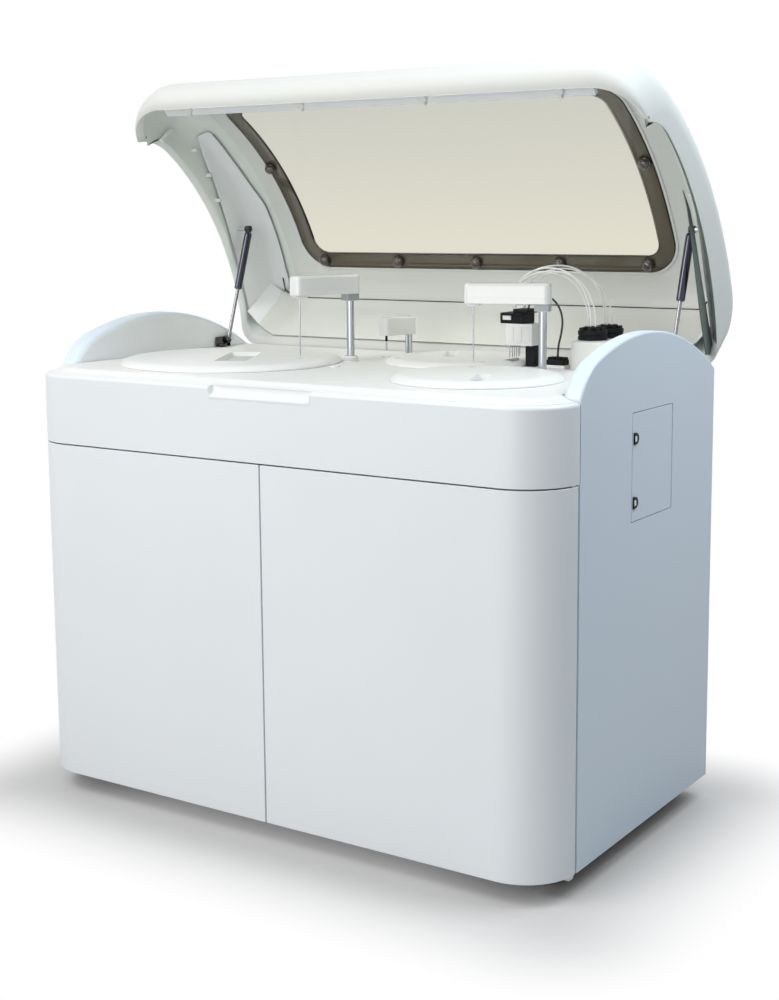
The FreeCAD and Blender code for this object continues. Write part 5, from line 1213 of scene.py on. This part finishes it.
def cheek_panel(side):
    """A smooth panel on the cheek that bends into the curve under the roof."""
    rows, shadow = [], []
    first, last = LINER_FRONT[0][0], LINER_LOW[-1][0]
    flat = LINER_LOW[0][0]
    depths = [first, 189, 191, 195, 202, 212, 225, 242, 259, flat] + [
        flat + (last - flat) * k / 24 for k in range(1, 25)]
    for depth in depths:
        turn, top = between(LINER_FRONT, depth), between(LINER_TOP, depth)
        row = [Vector((LINER_OFF, depth, between(LINER_LOW, depth)))] if depth > flat else [
            liner_point(depth, turn)]
        row += [liner_point(depth, turn + (LINER_CREASE - turn) * k / 3) for k in range(3)]
        row += [liner_point(depth, LINER_CREASE + (top - LINER_CREASE) * k / 5)
                for k in range(6)]
        rows.append(row)
        if depth > 195:
            a = math.radians(top + 1.5)
            way = Vector((math.cos(a), 0, -math.sin(a)))
            shadow.append((liner_point(depth, top) + way * -1.2, way))
    panel = lofted(rows)
    bmesh.ops.remove_doubles(panel, verts=panel.verts[:], dist=0.01)
    # A dark cord along the panel's top edge: painted shadow of the gap between panel and roof.
    dark_edge = paint(bead(shadow, 1.3, sides=6), 2)
    nubs = [paint(rod((14, y, z), (27, y, z), 3.4, 16, 0.8), 1)
            for y, z in ((213, 986), (288, 995), (354, 986))]
    rib = paint(block((16, 129, 903), (26, 136, 945), 2.4), 1)
    thing = joined(panel, dark_edge, rib, *nubs)
    if side == "right":
        move(thing, MIRROR)
        # A dark strip on the right cheek's inside: painted shade of the gap between panel and
        # cheek.
        strip = [[Vector((SHADE_STRIP_AT, *place)) for place in edge] for edge in SHADE_STRIP_EDGES]
        thing = joined(thing, paint(lofted(strip), 3))
    thicken(piece(side + "_cheek_panel", "lid", thing, [LINER, CHEEK, SHADE, SHADE_STRIP],
                  ["hood_liners"], LID, angle=50), 0.002)


# Folds of the back sheet: place across, and how far it comes forward there
BACK_FOLDS = ((20, 50), (50, 22), (88, 0), (WIDTH - 88, 0), (WIDTH - 50, 22), (WIDTH - 20, 50))


def back_sheet():
    """The white sheet across the lid's back, folded at both ends, with a black cord above it as
    painted shadow of the gap.
    """
    profile = [(682, 872), (682, 930), (682, REAR_ARC.y)]
    for step in range(1, 7):
        turn = math.radians(SEAM_TURN * step / 6)
        profile.append((REAR_ARC.x + 80 * math.cos(turn), REAR_ARC.y + 80 * math.sin(turn)))
    rows = [[Vector((x, y - forward, max(z, edge_height(y - forward, HOOD_GAP + 5))))
             for y, z in profile] for x, forward in BACK_FOLDS]
    sheet = lofted(rows)
    paint(sheet, 2, lambda m, normal: m.x < 50 or m.x > WIDTH - 50)
    y, z = profile[-1]
    way = Vector((0, -math.cos(math.radians(SEAM_TURN)), -math.sin(math.radians(SEAM_TURN))))
    end = liner_point(629, 59.5)
    line = [end, Vector((64, 648, 1021)), Vector((88, y, z))]
    line += [Vector((WIDTH - p.x, p.y, p.z)) for p in reversed(line)]
    # A black cord along the sheet's top: painted shadow of the gap there.
    gap_shadow_cord = bead([(p, way) for p in line], 0.7, sides=6)
    thicken(piece("back_sheet", "lid", joined(sheet, paint(gap_shadow_cord, 1)), [LINING, BLACK, LINER],
                  ["hood_liners"], LID, angle=14), 0.002)


# Gas springs

STRUT_LOW = Vector((52, 608, 877))
STRUT_TOP = CABINET.inverted() @ LID @ Vector((52, 453, 1008))


def struts():
    """Bright rods from clevises on the deck, black cylinders to studs inside the lid."""
    reach = (STRUT_TOP - STRUT_LOW).length
    aim = (Matrix.Translation(STRUT_LOW)
           @ UP.rotation_difference(STRUT_TOP - STRUT_LOW).to_matrix().to_4x4())
    rods, cylinders, feet = [], [], []
    for turn in (Matrix.Identity(4), MIRROR):
        ball = turned([(7.6 * math.sin(math.radians(a)), -7.6 * math.cos(math.radians(a)))
                       for a in range(0, 181, 15)], 32)
        bar = joined(disc(4, 5, 165, 0.4, 32), turned(((0, 6), (5.4, 6), (5.4, 17), (4.6, 19),
                                                       (0, 19)), 32), paint(ball, 1))
        rods.append(move(move(bar, aim), turn))
        low, high = reach - 8 - 142, reach - 8
        tube = turned(((0, low), (6.4, low), (6.4, low + 1), (8.2, low + 1.2), (9, low + 3),
                       (9, high - 8), (8.6, high - 4), (7, high - 1.2), (4.4, high),
                       (4.4, high + 2), (0, high + 2)), 40)
        socket = paint(disc(8, -9, 4, 1.4, 32), 1)
        move(socket, Matrix.Translation((0, 0, reach)) @ Matrix.Rotation(math.pi / 2, 4, "Y"))
        cylinders.append(move(move(joined(tube, socket), aim), turn))
        plate = joined(block((42.3, 571, 862), (47.5, 621, 886), 2.2),
                       block((42.3, 575, 862), (59, 596, 870), 2),
                       rod((47, 608, 877), (47.9, 608, 877), 9, 24, 0.3))
        feet.append(move(plate, turn))
    piece("strut_bars", "strut_rods", joined(*rods), [DARK_STEEL, SOFT_BLACK],
          ["strut_rods"])
    piece("strut_tubes", "strut_cylinders", joined(*cylinders), [SHEEN_BLACK, SOFT_BLACK],
          ["strut_cylinders"])
    piece("strut_feet", "root", joined(*feet), [SOFT_BLACK], edge=0.4)


for side in ("left", "right"):
    door(side)
    side_panel(side)
fascia()
hatch()
deck()
for disc_name in COVERS:
    cover(disc_name)
arm("reagent_arm", REAGENT_ARM, 124, 246.9, 1006)
arm("sample_arm", SAMPLE_ARM, 140, 197.2, 996)
needles()
piece("shaft_boots", "root", joined(shaft_boot(REAGENT_ARM, 17, 2),
                                    shaft_boot(SAMPLE_ARM, 12.5, 0)), [GLOSSY])
mixer()
wash_station()
housing()
lift_posts()
manifolds()
hood()
window()
window_lip()
knobs()
light()
for side in ("left", "right"):
    cheek_panel(side)
back_sheet()
struts()


# CAD nodes that stay as they are

KEPT = {
    "base_frame": FRAME_PAINT, "levelling_feet": RUBBER, "rear_panel": SHADED_SIDE_PAINT,
    "door_pivots": ZINC, "power_supply": ZINC, "rear_ports": BLACK, "fluid_tanks": TANK,
    "syringe_block": GLOSSY, "reagent_pot": POT, "sample_pot": POT, "reaction_pot": POT,
    "disc_motors": MOTOR, "lid_brackets": BLACK, "photometer": MOTOR,
    "power_rocker": BLACK, "reagent_plunger": STEEL, "sample_plunger": STEEL,
    "reagent_tray": DISC, "sample_tray": DISC, "reaction_rotor": ALLOY,
    "cuvette_ring": CUVETTE, "reagent_carriage": ALLOY, "sample_carriage": ALLOY,
    "mixer_carriage": ALLOY, "hood_fittings": ZINC,
}
for name, material in KEPT.items():
    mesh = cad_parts[name].data
    mesh.materials.clear()
    mesh.materials.append(material)


# Floor, backdrop and light

floor_mesh = bpy.data.meshes.new("floor")
floor_bm = bmesh.new()
bmesh.ops.create_grid(floor_bm, x_segments=1, y_segments=1, size=30)
floor_bm.to_mesh(floor_mesh)
floor_bm.free()
floor = bpy.data.objects.new("floor", floor_mesh)
scene.collection.objects.link(floor)



def seen_rays(tree):
    """One for camera, glossy and transmission rays, and nothing for the rest."""
    rays = node(tree, "LightPath").outputs
    seen = maths(tree, "MAXIMUM", rays["Is Camera Ray"], rays["Is Glossy Ray"])
    return maths(tree, "MAXIMUM", seen, rays["Is Transmission Ray"])


floor_paint = bpy.data.materials.new("floor_white")
floor_paint.use_nodes = True
tree = floor_paint.node_tree
floor_place = node(tree, "SeparateXYZ", Vector=node(tree, "TexCoord").outputs["Object"]).outputs


def past(value, middle, half):
    """How far a value lies outside a span, on either side of its middle."""
    value = maths(tree, "ABSOLUTE", maths(tree, "SUBTRACT", value, middle))
    return maths(tree, "MAXIMUM", maths(tree, "SUBTRACT", value, half))


# The shade fades out with the distance from the cabinet's footprint
beside, ahead = past(floor_place["X"], 0, 0.62), past(floor_place["Y"], -0.078, 0.353)
away = maths(tree, "SQRT", maths(tree, "ADD", maths(tree, "MULTIPLY", beside, beside),
                                 maths(tree, "MULTIPLY", ahead, ahead)))
fade = node(tree, "MapRange", From_Min=0.0, From_Max=0.3, To_Min=0.35, Value=away)
fade.interpolation_type = "SMOOTHSTEP"
# Painted contact shadow: ambient occlusion darkens the floor's colour and its glow near the
# cabinet.
crevice = node(tree, "AmbientOcclusion", Distance=0.3)
tone = node(tree, "MapRange", From_Min=0.05, From_Max=0.8, To_Min=0.03,
            Value=crevice.outputs["AO"])
tone.interpolation_type = "SMOOTHSTEP"
floor_shade_tone = tone.outputs["Result"]
base = tree.nodes["Principled BSDF"]
base.inputs["Roughness"].default_value = 0.7
base.inputs["Specular IOR Level"].default_value = 0.1
tree.links.new(maths(tree, "MULTIPLY", floor_shade_tone, 0.5), base.inputs["Base Color"])
glow = node(tree, "Emission", Color=floor_shade_tone)
seen = maths(tree, "MULTIPLY", seen_rays(tree), fade.outputs["Result"])
mixed = node(tree, "MixShader", Fac=seen)
tree.links.new(base.outputs["BSDF"], mixed.inputs[1])
tree.links.new(glow.outputs["Emission"], mixed.inputs[2])
tree.links.new(mixed.outputs["Shader"], tree.nodes["Material Output"].inputs["Surface"])
floor_mesh.materials.append(floor_paint)

world = bpy.data.worlds.new("studio")
scene.world = world
world.use_nodes = True
tree = world.node_tree
room = tree.nodes["Background"]
room.inputs["Color"].default_value = (0.80, 0.87, 0.95, 1)
room.inputs["Strength"].default_value = 0.15
white = node(tree, "Background", Color=(1, 1, 1, 1), Strength=1.0)
mixed = node(tree, "MixShader", Fac=seen_rays(tree))
tree.links.new(room.outputs["Background"], mixed.inputs[1])
tree.links.new(white.outputs["Background"], mixed.inputs[2])
tree.links.new(mixed.outputs["Shader"], tree.nodes["World Output"].inputs["Surface"])


def lamp(name, place, target, size, energy, colour):
    data = bpy.data.lights.new(name, "AREA")
    data.shape = "DISK"
    data.size = size
    data.energy = energy
    data.color = colour
    thing = bpy.data.objects.new(name, data)
    thing.location = place
    thing.rotation_mode = "QUATERNION"
    thing.rotation_quaternion = (Vector(target) - Vector(place)).to_track_quat("-Z", "Y")
    scene.collection.objects.link(thing)


lamp("key", (-1.3, -2.6, 3.4), (0, 0, 0.9), 2.0, 73, (1.0, 0.99, 0.975))
lamp("front", (0.2, -3.8, 1.5), (0, 0, 1.0), 2.4, 47, (1.0, 0.99, 0.98))
lamp("top", (0.1, -0.5, 4.2), (0, 0, 0.9), 2.6, 13, (1.0, 1.0, 0.99))
lamp("side", (1.55, 0.3, 2.7), (0.5, 0, 0.9), 1.4, 35, (0.84, 0.93, 1.0))
lamp("rim", (0.6, 2.6, 2.8), (0, 0, 0.9), 2.0, 3, (0.9, 0.95, 1.0))
